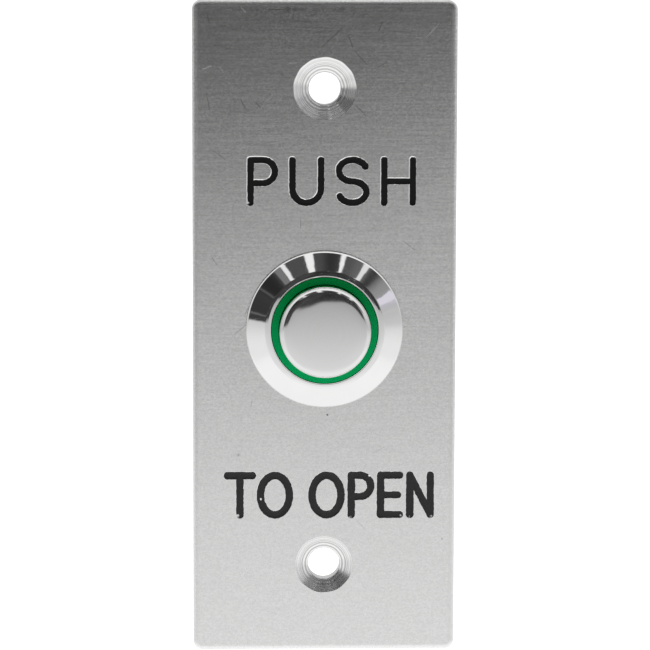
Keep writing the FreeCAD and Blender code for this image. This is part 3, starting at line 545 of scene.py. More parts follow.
# %% Plate blank
PLATE_SIZE = Vector((37.0, 3.0, 92.0))
CORNER_RADIUS = 1.3
CORNER_STEPS = 12
BACK_EDGE = 0.08
ROLL_WIDTH, ROLL_HEIGHT, ROLL_POWER = 0.8, 0.45, 3
ROLL_STEPS = 18
EDGE_HOLD = 0.04


def plate_outline(inset, depth):
    """The points of a loop round the plate, some way in from its outline."""
    radius = max(CORNER_RADIUS - inset, 0.1)
    half_x = PLATE_SIZE.x / 2 - inset - radius
    half_z = PLATE_SIZE.z / 2 - inset - radius
    loop = []
    for corner, (side_x, side_z) in enumerate([(1, 1), (-1, 1), (-1, -1), (1, -1)]):
        for step in range(CORNER_STEPS + 1):
            angle = math.radians(90 * (corner + step / CORNER_STEPS))
            x = side_x * half_x + radius * math.cos(angle)
            z = side_z * half_z + radius * math.sin(angle)
            loop.append(Vector((x, depth, z)) * MM)
    return loop


def plate_blank():
    shape = bmesh.new()
    rows = [(BACK_EDGE, 0), (0, -BACK_EDGE), (0, PLATE_FRONT + ROLL_HEIGHT + EDGE_HOLD)]
    for step in range(ROLL_STEPS + 1):
        around = math.radians(90 * (1 - step / ROLL_STEPS))
        inset = ROLL_WIDTH * (1 - math.sin(around) ** (2 / ROLL_POWER))
        rows.append((inset, PLATE_FRONT + ROLL_HEIGHT * (1 - math.cos(around))))
    rows.append((ROLL_WIDTH + EDGE_HOLD, PLATE_FRONT))
    rail = [shape.verts.new(point) for point in plate_outline(*rows[0])]
    edges = [shape.edges.new(pair) for pair in zip(rail, rail[1:] + rail[:1])]
    bmesh.ops.edgeloop_fill(shape, edges=edges)
    for row in rows[1:]:
        grown = bmesh.ops.extrude_edge_only(shape, edges=edges)["geom"]
        edges = [part for part in grown if isinstance(part, bmesh.types.BMEdge)]
        rail = [part for part in grown if isinstance(part, bmesh.types.BMVert)]
        for vertex, point in zip(rail, plate_outline(*row)):
            vertex.co = point
    bmesh.ops.edgeloop_fill(shape, edges=edges)
    return shape


def bevel_edges(shape, edges, radius, segments):
    bmesh.ops.bevel(
        shape,
        geom=edges,
        offset=radius * MM,
        offset_type="OFFSET",
        affect="EDGES",
        segments=segments,
        profile=0.5,
        material=-1,
        clamp_overlap=True,
    )


plate_object = cutter_from(plate_blank(), "plate_blank")
print("plate blank:", len(plate_object.data.polygons), "faces")

# %% [markdown]
# The holes are turned cutters: a straight drill, and in front of it the wide point of a second
# drill, which leaves a shallow cone of 130 degrees. The upper cone is a little wider than the lower
# one. Such a drill chatters, so its cone has faint waves and not quite a round outline.

# %% Cut the holes and the letters
PANEL_HOLE_RADIUS = 9.65
HOLE_RADIUS = 2.25
SCREW_HEIGHT = 33.7
SINK_RADII = {1: 4.4, -1: 4.05}
SINK_ANGLE = 130
CHATTER = 0.012
CHATTER_WAVES = {1: 13, -1: 9}


def countersink_cutter(side):
    """A drill with a countersink, on the upper (1) or lower (-1) screw's axis."""
    slope = math.tan(math.radians(90 - SINK_ANGLE / 2))
    rim = SINK_RADII[side] + 1
    neck = PLATE_FRONT + (SINK_RADII[side] - HOLE_RADIUS) * slope
    corners = [
        (0, PLATE_FRONT - slope),
        (rim, PLATE_FRONT - slope),
        (HOLE_RADIUS, neck, 0.05),
        (HOLE_RADIUS, 1),
        (0, 1),
    ]
    shape = lathe(section(corners, closed=False), 180, closed=False)
    for vertex in shape.verts:
        around = math.atan2(vertex.co.z, vertex.co.x)
        reach = math.hypot(vertex.co.x, vertex.co.z) / MM
        if reach > HOLE_RADIUS + 0.02:
            vertex.co.y += CHATTER * math.sin(CHATTER_WAVES[side] * around + side) * MM
    bmesh.ops.translate(shape, vec=(0, 0, side * SCREW_HEIGHT * MM), verts=shape.verts)
    return cutter_from(shape, "countersink")


def panel_hole_cutter():
    corners = [(0, -4), (PANEL_HOLE_RADIUS, -4), (PANEL_HOLE_RADIUS, 1), (0, 1)]
    return cutter_from(lathe(section(corners, closed=False), 128, closed=False), "panel_hole")


def combine(target, other, operation="DIFFERENCE"):
    """Cut the other shape out of the target, or keep what both share. The other one is removed."""
    modifier = target.modifiers.new("boolean", "BOOLEAN")
    modifier.operation, modifier.solver, modifier.object = operation, "EXACT", other
    old, new = target.data, evaluated_mesh(target)
    target.modifiers.clear()
    target.data = new
    bpy.data.meshes.remove(old)
    bpy.data.objects.remove(other)


def taken_mesh(item):
    """The mesh of an object that is needed no more."""
    mesh = item.data.copy()
    bpy.data.objects.remove(item)
    return mesh


combine(plate_object, panel_hole_cutter())
combine(plate_object, countersink_cutter(1))
combine(plate_object, countersink_cutter(-1))
for layer in range(CUTS):
    combine(plate_object, layer_cutter(layer))
    print("after cut", layer, "the plate has", len(plate_object.data.polygons), "faces")

# %% Sort the plate's faces by finish
BRUSHED, TURNED, FILLED = range(3)
SINK_REACH = 4.5
WORDS_START, WORDS_END, WORDS_REACH = 15, 29, 17.4
SKIN = 1e-3
FLAT_NORMAL = 0.9999


def plate_finish(polygon):
    """Which finish a face of the plate has, by where it lies."""
    x, y, z = polygon.center / MM
    if abs(polygon.normal.y) > FLAT_NORMAL and not PLATE_FRONT + SKIN <= y <= -SKIN:
        return BRUSHED
    if math.hypot(x, abs(z) - SCREW_HEIGHT) < SINK_REACH:
        return TURNED
    if WORDS_START < abs(z) < WORDS_END and abs(x) < WORDS_REACH:
        return FILLED
    return BRUSHED


def on_flat_face(polygon):
    """True on the flat front and back, inside the ring that holds the rolled edge's shading."""
    x, _, z = polygon.center / MM
    margin = ROLL_WIDTH + EDGE_HOLD
    inside = abs(x) < PLATE_SIZE.x / 2 - margin and abs(z) < PLATE_SIZE.z / 2 - margin
    return inside and abs(polygon.normal.y) > FLAT_NORMAL and plate_finish(polygon) == BRUSHED


plate_mesh = taken_mesh(plate_object)
plate = place_mesh("engraved_plate", plate_mesh, "faceplate")
wall_facing = plate_mesh.attributes.new("wall_facing", "FLOAT", "FACE")
for polygon in plate_mesh.polygons:
    polygon.material_index = plate_finish(polygon)
    polygon.use_smooth = not on_flat_face(polygon)
    wall_facing.data[polygon.index].value = 0.75 * polygon.normal.x - polygon.normal.z

# %% [markdown]
# ## The hardware behind the plate
#
# The nut is a slice of hexagon bar: a six-sided blank whose corners the lathe has turned off, so
# it is where a hexagonal prism and a turned shape with chamfers overlap. The housing is turned too,
# with two flats milled on its tail, and the base has the same flats.

# %% Nut
NUT_FRONT, NUT_BACK = 0.8, 3.8
NUT_FLAT = 11.0
NUT_CHAMFER = 0.55
NUT_BORE = 9.55
nut_corner = NUT_FLAT * 2 / math.sqrt(3)


def hexagon_blank():
    shape = bmesh.new()
    reach, thick = nut_corner * MM, (NUT_BACK - NUT_FRONT + 1) * MM
    bmesh.ops.create_cone(
        shape, cap_ends=True, segments=6, radius1=reach, radius2=reach, depth=thick
    )
    for angle, axis in ((90, "X"), (30, "Y")):
        turn = Matrix.Rotation(math.radians(angle), 3, axis)
        bmesh.ops.rotate(shape, cent=(0, 0, 0), matrix=turn, verts=shape.verts)
    bmesh.ops.translate(shape, vec=(0, (NUT_FRONT + NUT_BACK) / 2 * MM, 0), verts=shape.verts)
    sides = [e for e in shape.edges if abs((e.verts[0].co - e.verts[1].co).y) > MM]
    bevel_edges(shape, sides, 0.12, 3)
    return cutter_from(shape, "hexagon_blank")


def hexagon_points_right(blank):
    """Turn the blank if its corners don't point along X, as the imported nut's do."""
    packed_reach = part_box("panel_nut")[1].x
    reach = max(v.co.x for v in blank.data.vertices)
    if abs(reach - packed_reach) > 0.5 * MM:
        blank.data.transform(Matrix.Rotation(math.radians(30), 4, "Y"))


slope = NUT_CHAMFER / (nut_corner - NUT_FLAT)
face_end, beyond = NUT_FLAT - 0.1, nut_corner + 0.4
turned_part = section([
    (NUT_BORE, NUT_FRONT, 0.25),
    (face_end, NUT_FRONT, 0.1),
    (beyond, NUT_FRONT + slope * (beyond - face_end)),
    (beyond, NUT_BACK - slope * (beyond - face_end)),
    (face_end, NUT_BACK, 0.1),
    (NUT_BORE, NUT_BACK, 0.25),
])
nut_blank = hexagon_blank()
hexagon_points_right(nut_blank)
combine(nut_blank, cutter_from(lathe(turned_part, 144), "turned_nut"), "INTERSECT")
nut = place_mesh("hex_nut", taken_mesh(nut_blank), "panel_nut")

# %% Housing and base
HOUSING_RADIUS = 8.8
NOSE_RADIUS = 8.1
HOUSING_FLAT = 8.2
FLAT_START = 14.5


def slab_cutter(side, low_depth, high_depth):
    """A block that mills one flat, left (-1) or right (1)."""
    shape = bmesh.new()
    bmesh.ops.create_cube(shape, size=1)
    size = Vector((4, high_depth - low_depth, 24))
    bmesh.ops.scale(shape, vec=size * MM, verts=shape.verts)
    middle = Vector((side * (HOUSING_FLAT + size.x / 2), (low_depth + high_depth) / 2, 0))
    bmesh.ops.translate(shape, vec=middle * MM, verts=shape.verts)
    return cutter_from(shape, "flat_mill")


def milled(name, points, node, low_depth, high_depth, closed=True):
    """A turned piece with two flats."""
    blank = cutter_from(lathe(points, 144, closed), name + "_blank")
    for side in (-1, 1):
        combine(blank, slab_cutter(side, low_depth, high_depth))
    return place_mesh(name, taken_mesh(blank), node)


CAVITY_RADIUS = 7.2
STEM_HOLE = 3.4
FRONT_WALL = 1.4
housing_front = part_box("contact_housing")[0].y / MM
housing_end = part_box("contact_housing")[1].y / MM
housing_points = section([
    (STEM_HOLE, housing_front),
    (NOSE_RADIUS, housing_front, 0.1),
    (NOSE_RADIUS, BARREL_END),
    (HOUSING_RADIUS, BARREL_END, 0.15),
    (HOUSING_RADIUS, housing_end, 0.04),
    (CAVITY_RADIUS, housing_end),
    (CAVITY_RADIUS, housing_front + FRONT_WALL),
    (STEM_HOLE, housing_front + FRONT_WALL),
])
housing = milled(
    "moulded_housing", housing_points, "contact_housing", FLAT_START, housing_end + 1
)

PLUG_RADIUS, PLUG_LENGTH = 7.15, 3.2
PEG_RADIUS, PEG_LENGTH = 1.45, 2.2
RESIN_DEPTH = 0.8
base_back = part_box("terminal_base")[1].y / MM
base_front = housing_end - PLUG_LENGTH
resin_radius = HOUSING_FLAT - 0.6
resin_floor = base_back - RESIN_DEPTH
base_points = section([
    (0, base_front - PEG_LENGTH),
    (PEG_RADIUS, base_front - PEG_LENGTH, 0.15),
    (PEG_RADIUS, base_front),
    (PLUG_RADIUS, base_front, 0.1),
    (PLUG_RADIUS, housing_end),
    (HOUSING_RADIUS, housing_end, 0.04),
    (HOUSING_RADIUS, base_back, 0.2),
    (resin_radius, base_back, 0.1),
    (resin_radius, resin_floor),
    (0, resin_floor),
], closed=False)
base = milled(
    "terminal_base_moulding", base_points, "terminal_base", housing_end, base_back + 1, closed=False
)

# %% [markdown]
# The resin was poured, so it creeps up the wall of its recess and up every tab, and its middle is
# a little low. It is a spun disc whose rim rises, which is all of that creep that one can see.

# %% Resin
resin_points = section([
    (0, resin_floor),
    (resin_radius, resin_floor),
    (resin_radius, base_back - 0.04),
    (resin_radius - 0.25, base_back - 0.16, 0.4),
    (0, base_back - 0.18),
], closed=False)
resin = finish_piece("poured_resin", lathe(resin_points, 144, closed=False), "sealing_resin")

# %% [markdown]
# ## Edges of the stamped pieces
#
# Tabs, washer, bridge and clip were stamped from sheet, so their solids already have the right
# outline. A copy of each gets a narrow bevel: no sheared edge is perfectly sharp, and the thin
# line of light along it is what makes a small metal piece look real.

# %% Bevelled copies
STAMPED = {
    "terminal_common": 0.04,
    "terminal_normally_closed": 0.04,
    "terminal_normally_open": 0.04,
    "terminal_lamp_plus": 0.04,
    "terminal_lamp_minus": 0.04,
    "lock_washer": 0.08,
    "contact_bridge": 0.03,
    "bridge_clip": 0.04,
}


def bevelled_copy(node, width):
    """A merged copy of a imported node, with its sharp edges broken."""
    shape = bmesh.new()
    shape.from_mesh(nodes[node].data)
    bmesh.ops.remove_doubles(shape, verts=shape.verts, dist=1e-7)
    flat = math.radians(1)
    inner = [e for e in shape.edges if len(e.link_faces) == 2 and e.calc_face_angle() < flat]
    bmesh.ops.dissolve_limit(
        shape, angle_limit=flat, verts=shape.verts, edges=inner, use_dissolve_boundaries=False
    )
    hard = math.radians(35)
    sharp = [e for e in shape.edges if len(e.link_faces) == 2 and e.calc_face_angle() > hard]
    bevel_edges(shape, sharp, width, 2)
    return finish_piece("edged_" + node, shape, node)


edged = {node: bevelled_copy(node, width) for node, width in STAMPED.items()}

# %% [markdown]
# ## Materials
#
# Every finish is a Principled shader fed by a few small patterns. The patterns are node groups,
# each made once: brushed grain, turning marks, scratches, specks and the fine texture of moulded
# plastic. They read a position in metres, so a value such as 2500 for a grain's fineness means
# features of about 0.4 mm. Each material then says how strongly it uses them. A node's output is
# handled as a signal: sums and products of signals make the Math nodes that work them out.


# %% Helper: signals
def feed(node, sockets):
    """Give a node its inputs by name or number: a signal is linked, anything else is a value."""
    for key, value in sockets.items():
        if isinstance(value, Signal):
            node.id_data.links.new(value.socket, node.inputs[key])
        else:
            node.inputs[key].default_value = value
    return node


def signals_of(node):
    """A node's outputs as signals, by name."""
    return {output.name: Signal(output) for output in node.outputs if output.name}


class Signal:
    """A node's output. What is done with it makes further nodes in the same tree."""

    def __init__(self, socket):
        self.socket = socket
        self.tree = socket.id_data

    def math(self, operation, *others, clamp=False):
        node = self.tree.nodes.new("ShaderNodeMath")
        node.operation, node.use_clamp = operation, clamp
        return Signal(feed(node, dict(enumerate((self, *others)))).outputs[0])

    def __add__(self, other):
        return self.math("ADD", other)

    def __sub__(self, other):
        return self.math("SUBTRACT", other)

    def __rsub__(self, other):
        return (self - other) * -1.0

    def __mul__(self, other):
        return self.math("MULTIPLY", other)

    def __truediv__(self, other):
        return self.math("DIVIDE", other)

    def __abs__(self):
        return self.math("ABSOLUTE")

    def maximum(self, other):
        return self.math("MAXIMUM", other)

    def remap(self, low, high, to_low=0.0, to_high=1.0, smooth=True):
        """Carry the value from one range to another, clamped, with a soft step by default."""
        node = self.tree.nodes.new("ShaderNodeMapRange")
        node.interpolation_type = "SMOOTHSTEP" if smooth else "LINEAR"
        ranges = {"From Min": low, "From Max": high, "To Min": to_low, "To Max": to_high}
        return Signal(feed(node, {"Value": self, **ranges}).outputs["Result"])

    def mix(self, first, second):
        """With the signal as the share: the value between two."""
        node = self.tree.nodes.new("ShaderNodeMix")
        return Signal(feed(node, {0: self, 2: first, 3: second}).outputs[0])

    def blend(self, first, second):
        """With the signal as the share: the colour between two, as signals or red, green, blue."""
        node = self.tree.nodes.new("ShaderNodeMix")
        node.data_type = "RGBA"
        ends = [end if isinstance(end, Signal) else (*end, 1) for end in (first, second)]
        return Signal(feed(node, {0: self, 6: ends[0], 7: ends[1]}).outputs[2])

    def vector(self, operation, *others, output=0):
        node = self.tree.nodes.new("ShaderNodeVectorMath")
        node.operation = operation
        return Signal(feed(node, dict(enumerate((self, *others)))).outputs[output])

    def axis(self, name):
        node = self.tree.nodes.new("ShaderNodeSeparateXYZ")
        return Signal(feed(node, {0: self}).outputs[name])

    def flattened(self, across=1):
        """The position without its depth, mirrored where across is -1."""
        return self.vector("MULTIPLY", (across, 0, 1))

    def apart_from(self, x, z):
        """How far a flattened position is from a spot, which is given in millimetres."""
        return self.vector("DISTANCE", (x * MM, 0, z * MM), output="Value")

    def noise(self, scale, detail, roughness):
        node = self.tree.nodes.new("ShaderNodeTexNoise")
        sockets = {"Vector": self, "Scale": scale, "Detail": detail, "Roughness": roughness}
        return Signal(feed(node, sockets).outputs[0])

    def through(self, group, **values):
        """The outputs of a pattern group at this position, with the group's own values."""
        node = self.tree.nodes.new("ShaderNodeGroup")
        node.node_tree = group
        return signals_of(feed(node, {"Position": self, **values}))

    def bump(self, strength, distance, under=None):
        """A normal that follows the height, with its distance in metres, over another normal."""
        node = self.tree.nodes.new("ShaderNodeBump")
        below = {"Normal": under} if under else {}
        sockets = {"Height": self, "Strength": strength, "Distance": distance, **below}
        return Signal(feed(node, sockets).outputs[0])


def new_group(name, inputs, outputs, kind="NodeSocketFloat"):
    """A node group, its inputs as signals and its output node. An input of None is a vector."""
    tree = bpy.data.node_groups.new(name, "ShaderNodeTree")
    for label, value in inputs.items():
        input_kind = "NodeSocketVector" if value is None else "NodeSocketFloat"
        socket = tree.interface.new_socket(label, in_out="INPUT", socket_type=input_kind)
        if value is not None:
            socket.default_value = value
    for label in outputs:
        tree.interface.new_socket(label, in_out="OUTPUT", socket_type=kind)
    given = signals_of(tree.nodes.new("NodeGroupInput"))
    return tree, given, tree.nodes.new("NodeGroupOutput")


# %% Pattern: brushed grain
# Rolled sheet is finished with an abrasive belt: short streaks along X, on a faint cloudy shade.
brushed_grain, given, group_end = new_group(
    "brushed_grain", {"Position": None, "Fineness": 2500.0, "Streak": 0.2}, ["Shade", "Height"]
)
stretch = feed(
    brushed_grain.nodes.new("ShaderNodeCombineXYZ"), {"X": given["Streak"], "Y": 1.0, "Z": 1.0}
)
streaked = given["Position"].vector("MULTIPLY", Signal(stretch.outputs[0]))
fine = streaked.noise(given["Fineness"], 3.0, 0.7)
cloud = given["Position"].noise(130.0, 4.0, 0.6)
feed(group_end, {"Shade": cloud * 0.35 + fine * 0.65, "Height": fine})

# %% Pattern: turning marks
# A lathe tool leaves fine rings round the axis. Their shade depends on the distance from it alone.
turning_marks, given, group_end = new_group(
    "turning_marks", {"Position": None, "Fineness": 9000.0}, ["Rings"]
)
from_axis = given["Position"].flattened().apart_from(0, 0)
along = from_axis + given["Position"].axis("Y") * 0.7
ring_noise = turning_marks.nodes.new("ShaderNodeTexNoise")
ring_noise.noise_dimensions = "1D"
feed(ring_noise, {"W": along, "Scale": given["Fineness"], "Detail": 2.0})
feed(group_end, {"Rings": Signal(ring_noise.outputs[0])})


# %% Pattern: scratches
# Handling leaves short hairlines. Space is split into cells, and some cells hold one straight line
# through their middle, at an angle and of a length of their own.
def scattered_cells(position, density):
    """Cells scattered through space: their signals, and three random numbers of each."""
    cells = position.tree.nodes.new("ShaderNodeTexVoronoi")
    found = signals_of(feed(cells, {"Vector": position, "Scale": density}))
    numbers = position.tree.nodes.new("ShaderNodeSeparateColor")
    return found, list(signals_of(feed(numbers, {0: found["Color"]})).values())


def straight_line(position, middle, angle, length, width, full_length, full_width):
    """A mask of one line, full up to two shares of its length and width and fading to a half."""
    turn = position.tree.nodes.new("ShaderNodeVectorRotate")
    turn.rotation_type = "AXIS_ANGLE"
    feed(turn, {"Vector": position.vector("SUBTRACT", middle), "Axis": (0, 1, 0), "Angle": angle})
    turned = Signal(turn.outputs[0])
    along = (abs(turned.axis("X")) / length).remap(full_length, 0.5, 1.0, 0.0)
    return along * (abs(turned.axis("Z")) / width).remap(full_width, 0.5, 1.0, 0.0)


scratches, given, group_end = new_group(
    "scratches",
    {"Position": None, "Density": 150.0, "Share": 0.3, "Length": 0.003, "Width": 0.00012},
    ["Mask"],
)
cells, numbers = scattered_cells(given["Position"], given["Density"])
line = straight_line(
    given["Position"],
    cells["Position"],
    numbers[0] * math.pi,
    given["Length"] * (numbers[2] * 0.8 + 0.3),
    given["Width"],
    0.15,
    0.15,
)
feed(group_end, {"Mask": line * numbers[1].math("LESS_THAN", given["Share"])})

# %% Pattern: one hairline
# A single straight scratch, for the few that are long enough to be placed one by one.
hairline, given, group_end = new_group(
    "hairline",
    {"Position": None, "Middle": None, "Angle": 0.0, "Length": 0.002, "Width": 0.00026},
    ["Mask"],
)
feed(group_end, {"Mask": straight_line(*given.values(), 0.3, 0.1)})

# %% Pattern: specks
# Dust and pits: the middles of scattered cells, kept only where the cell's own number is low.
specks, given, group_end = new_group(
    "specks", {"Position": None, "Density": 300.0, "Share": 0.1}, ["Mask"]
)
cells, numbers = scattered_cells(given["Position"], given["Density"])
near = cells["Distance"].remap(0.0, numbers[1] * 0.1 + 0.03, 1.0, 0.0)
feed(group_end, {"Mask": near * numbers[0].math("LESS_THAN", given["Share"])})

# %% Pattern: moulded skin
# Injection moulds are spark eroded: a fine matt texture, with slow waves where the part shrank.
moulded_skin, given, group_end = new_group(
    "moulded_skin", {"Position": None, "Fineness": 5000.0}, ["Shade", "Height"]
)
skin_fine = given["Position"].noise(given["Fineness"], 2.0, 0.6)
feed(group_end, {"Shade": given["Position"].noise(220.0, 2.0, 0.5), "Height": skin_fine})
print("patterns:", [group.name for group in bpy.data.node_groups])


# %% Helper: a material with its shader
def new_material(name, **settings):
    """A material, its Principled shader with fixed values, and its position as a signal."""
    material = bpy.data.materials.new(name)
    material.use_nodes = True
    shader = material.node_tree.nodes["Principled BSDF"]
    for key, value in settings.items():
        shader.inputs[key.replace("_", " ").title().replace("Ior", "IOR")].default_value = value
    position = Signal(material.node_tree.nodes.new("ShaderNodeTexCoord").outputs["Object"])
    return material, shader, position


def finish_with(shader, color, roughness, normal, **more):
    feed(shader, {"Base Color": color, "Roughness": roughness, "Normal": normal, **more})


# %% [markdown]
# ## Steel, chrome and paint
#
# The plate is brushed stainless steel: nearly white metal, blurred a good deal by its grain, with
# a few hairlines and specks. The head is polished until only faint wiping marks are left, and the
# cap is a little darker and has fine turning marks on its face.

# %% Plate steel
# Two grains lie over each other: a fine even one and long faint streaks along X. They tilt the
# surface a little, which shows most where the studio changes from bright to dark, and vary its
# colour, more so towards the top. The steel's colour is also painted darker towards the top:
# painted shade, for the darker studio that the upper plate reflects. The belt also leaned, so the
# surface as a whole seems tipped back and aside a little, and it ran off over the edges, which are
# duller. A speck of dirt is its x, z, size and strength, and a hairline its two ends, in
# millimetres.
LEAN_BACK, LEAN_ASIDE = -0.032, 0.03
DIRT = [
    (0.45, -12.25, 0.2, 1.9), (16.75, -30.1, 0.11, 1.8), (-5.2, 44.7, 0.55, 0.6),
    (-4.1, 44.8, 0.5, 0.5), (2.4, 44.8, 0.45, 0.5), (3.9, 44.7, 0.5, 0.4),
    (10.5, 44.8, 0.5, 0.35),
]
DARK_HAIRLINES = [
    (-0.8, 39.1, 2.7, 42.5), (7.4, 41.6, 8.1, 43.3), (3.2, 41.2, 4.0, 39.1),
    (4.0, 39.1, 5.9, 37.0), (-11.8, 32.4, -11.0, 30.7), (-9.7, 31.9, -8.9, 30.9),
    (4.0, 31.7, 5.9, 29.8),
]
LIGHT_HAIRLINES = [
    (-11.7, 45.1, -11.0, 44.2), (13.9, 40.6, 16.0, 42.9), (-17.2, 36.3, -15.6, 37.0),
]


def hairlines(position, ends):
    """A mask of scratches that are placed one by one."""
    masks = [
        position.through(
            hairline,
            Middle=((x0 + x1) / 2 * MM, 0, (z0 + z1) / 2 * MM),
            Angle=math.atan2(z1 - z0, x1 - x0),
            Length=math.hypot(x1 - x0, z1 - z0) * MM,
        )["Mask"]
        for x0, z0, x1, z1 in ends
    ]
    return functools.reduce(Signal.maximum, masks)


plate_steel, shader, position = new_material("brushed_steel", metallic=1.0)
flat_place, mirrored = position.flattened(), position.flattened(-1)
plate_x, plate_z = position.axis("X"), position.axis("Z")
higher = plate_z.remap(-0.04, 0.03, 0.25, 1.0)
grain = position.through(brushed_grain, Fineness=3800.0, Streak=0.8)
streaks = position.through(brushed_grain, Fineness=4200.0, Streak=0.04)
long_grain = (streaks["Height"] - 0.5) * higher
mottle = long_grain * 0.45 + (grain["Height"] * 0.7 + 0.15)
# Painted shade: the steel's colour is made darker towards the top, for the darker studio that the
# upper plate reflects.
painted_shade_share = plate_z.remap(-0.025, 0.046, smooth=False)
dark_grain_with_painted_shade = painted_shade_share.blend((0.86, 0.86, 0.855), (0.54, 0.54, 0.535))
light_grain_with_painted_shade = painted_shade_share.blend((1.0, 1.0, 0.995), (0.84, 0.84, 0.835))
steel_color = mottle.remap(0.36, 0.64, smooth=False).blend(dark_grain_with_painted_shade, light_grain_with_painted_shade)

dark_lines = flat_place.through(
    scratches, Density=150.0, Share=0.28, Length=0.0036, Width=0.00016
)["Mask"]
light_lines = mirrored.through(
    scratches, Density=230.0, Share=0.3, Length=0.0022, Width=0.00014
)["Mask"]
dark = (dark_lines * higher).maximum(position.through(specks, Density=330.0, Share=0.06)["Mask"])
for x, z, size, strength in DIRT:
    spot = flat_place.apart_from(x, z).remap(size * 0.4 * MM, size * MM, strength, 0.0)
    dark = dark.maximum(spot)
dark = dark.maximum(hairlines(flat_place, DARK_HAIRLINES) * 0.85)
steel_color = (dark * 0.5).blend(steel_color, (0.2, 0.2, 0.2))
bright = (light_lines * higher).maximum(hairlines(flat_place, LIGHT_HAIRLINES) * 1.1)

from_side = PLATE_SIZE.x / 2 * MM - abs(plate_x)
near_edge = from_side.math("MINIMUM", PLATE_SIZE.z / 2 * MM - abs(plate_z))
steel_rough = bright * 0.12 + grain["Shade"].remap(0.3, 0.7, 0.25, 0.22, smooth=False)
steel_rough = steel_rough + near_edge.remap(0.0001, 0.001, 0.2, 0.0)
leaning = (plate_x * LEAN_ASIDE + plate_z * LEAN_BACK).bump(1.0, 1.0)
grain_height = long_grain * 0.3 + grain["Height"]
finish_with(shader, steel_color, steel_rough, grain_height.bump(1.0, 0.0000038, leaning))

# %% Turned steel, in the countersinks
# The wide drill leaned a little forward as well, so its cones seem tipped down.
SINK_LEAN = 0.04
turned_steel, shader, position = new_material("turned_steel", metallic=1.0)
centred = position.vector("ABSOLUTE").vector("ADD", (0, 0, -SCREW_HEIGHT * MM))
rings = centred.through(turning_marks, Fineness=3400.0)["Rings"]
leaning = (position.axis("Z") * SINK_LEAN).bump(1.0, 1.0)
finish_with(
    shader,
    rings.remap(0.35, 0.65).blend((0.6, 0.6, 0.595), (0.98, 0.98, 0.975)),
    rings.remap(0.3, 0.7, 0.38, 0.22, smooth=False),
    rings.bump(0.8, 0.00003, leaning),
)

# %% Letter paint
# Paint fills the grooves. It was wiped towards the lower right, so on walls that face right or down
# the metal is bare, and here and there a fleck of paint is missing. On the lower words the walls
# are wiped less deep, and the paint is painted lighter: a painted reflection of the brighter table
# below. A gap is its x, z and size in millimetres.
WIPED_DEPTH = 0.075
FLECK_GAPS = [
    (-10.75, 17.75, 0.22), (9.1, 17.9, 0.16), (-12.3, -26.75, 0.36), (6.4, -21.0, 0.16),
    (3.75, -26.95, 0.24), (10.9, -26.75, 0.18), (12.1, -27.0, 0.18), (15.2, -26.95, 0.24),
    (-8.9, -24.3, 0.14),
]
letter_paint, shader, position = new_material("letter_paint", specular_ior_level=0.22)
facing = letter_paint.node_tree.nodes.new("ShaderNodeAttribute")
facing.attribute_name = "wall_facing"
lower_word = position.axis("Z").math("LESS_THAN", 0.0)
wiped = Signal(facing.outputs["Fac"]).remap(0.05, 0.45) * (lower_word * -0.06 + WIPED_DEPTH)
edge_depth = wiped + (position.noise(2600.0, 3.0, 0.6) * 0.1 - 0.035)
depth = position.axis("Y") * (1 / MM) - PLATE_FRONT
painted = depth.remap(edge_depth, edge_depth + 0.012)
missing = position.through(specks, Density=1300.0, Share=0.08)["Mask"]
uneven = (position.noise(3500.0, 2.0, 0.6) - 0.5) * 0.5
flat_place = position.flattened()
for x, z, size in FLECK_GAPS:
    away = flat_place.apart_from(x, z) * (1 / MM) + uneven
    missing = missing.maximum(away.remap(size * 0.6, size, 1.0, 0.0))
covered = painted * (1.0 - missing)
# Painted reflection: the lower words' paint is lighter, for the brighter table that they reflect.
paint_and_painted_reflection = lower_word.blend((0.004, 0.004, 0.0045), (0.03, 0.03, 0.031))
finish_with(
    shader,
    covered.blend((0.98, 0.98, 0.975), paint_and_painted_reflection),
    covered.mix(0.2, position.noise(1500.0, 2.0, 0.5).remap(0.3, 0.7, 0.42, 0.32)),
    position.noise(4000.0, 2.0, 0.6).bump(0.3, 0.00002),
    Metallic=1.0 - covered,
)

# %% Polished head
polished, shader, position = new_material("polished_chrome", metallic=1.0)
wiping = position.through(scratches, Density=420.0, Share=0.3, Length=0.0014, Width=0.00008)
dust = position.through(specks, Density=900.0, Share=0.08)
film = position.noise(260.0, 3.0, 0.6)
finish_with(
    shader,
    film.blend((0.86, 0.86, 0.855), (0.93, 0.93, 0.93)),
    dust["Mask"] * 0.35 + (wiping["Mask"] * 0.06 + film.remap(0.35, 0.7, 0.035, 0.06)),
    position.noise(420.0, 2.0, 0.5).bump(0.35, 0.00003),
)

# %% Cap metal
# The cap was ground on a belt that leaned a little to one side, so it seems turned by two degrees.
CAP_LEAN = 0.034
cap_metal, shader, position = new_material("cap_chrome", metallic=1.0)
rings = position.through(turning_marks, Fineness=5000.0)["Rings"]
wiping = position.through(scratches, Density=350.0, Share=0.3, Length=0.0018, Width=0.00008)
leaning = (position.axis("X") * CAP_LEAN).bump(1.0, 1.0)
finish_with(
    shader,
    rings.blend((0.79, 0.79, 0.785), (0.84, 0.84, 0.84)),
    wiping["Mask"] * 0.08 + rings.remap(0.3, 0.7, 0.07, 0.1, smooth=False),
    rings.bump(0.03, 0.00001, leaning),
)

# %% Green ring
# The ring is dyed polycarbonate. It is deep green because light goes some way into it. Its colour
# is painted darker towards the top and lighter towards the bottom: painted shade, as the cap shades
# the ring's upper part from the bright table below.
ring_green, shader, position = new_material("green_polycarbonate", specular_ior_level=0.03)
skin = position.through(moulded_skin, Fineness=3500.0)
dust = position.through(specks, Density=900.0, Share=0.05)["Mask"]
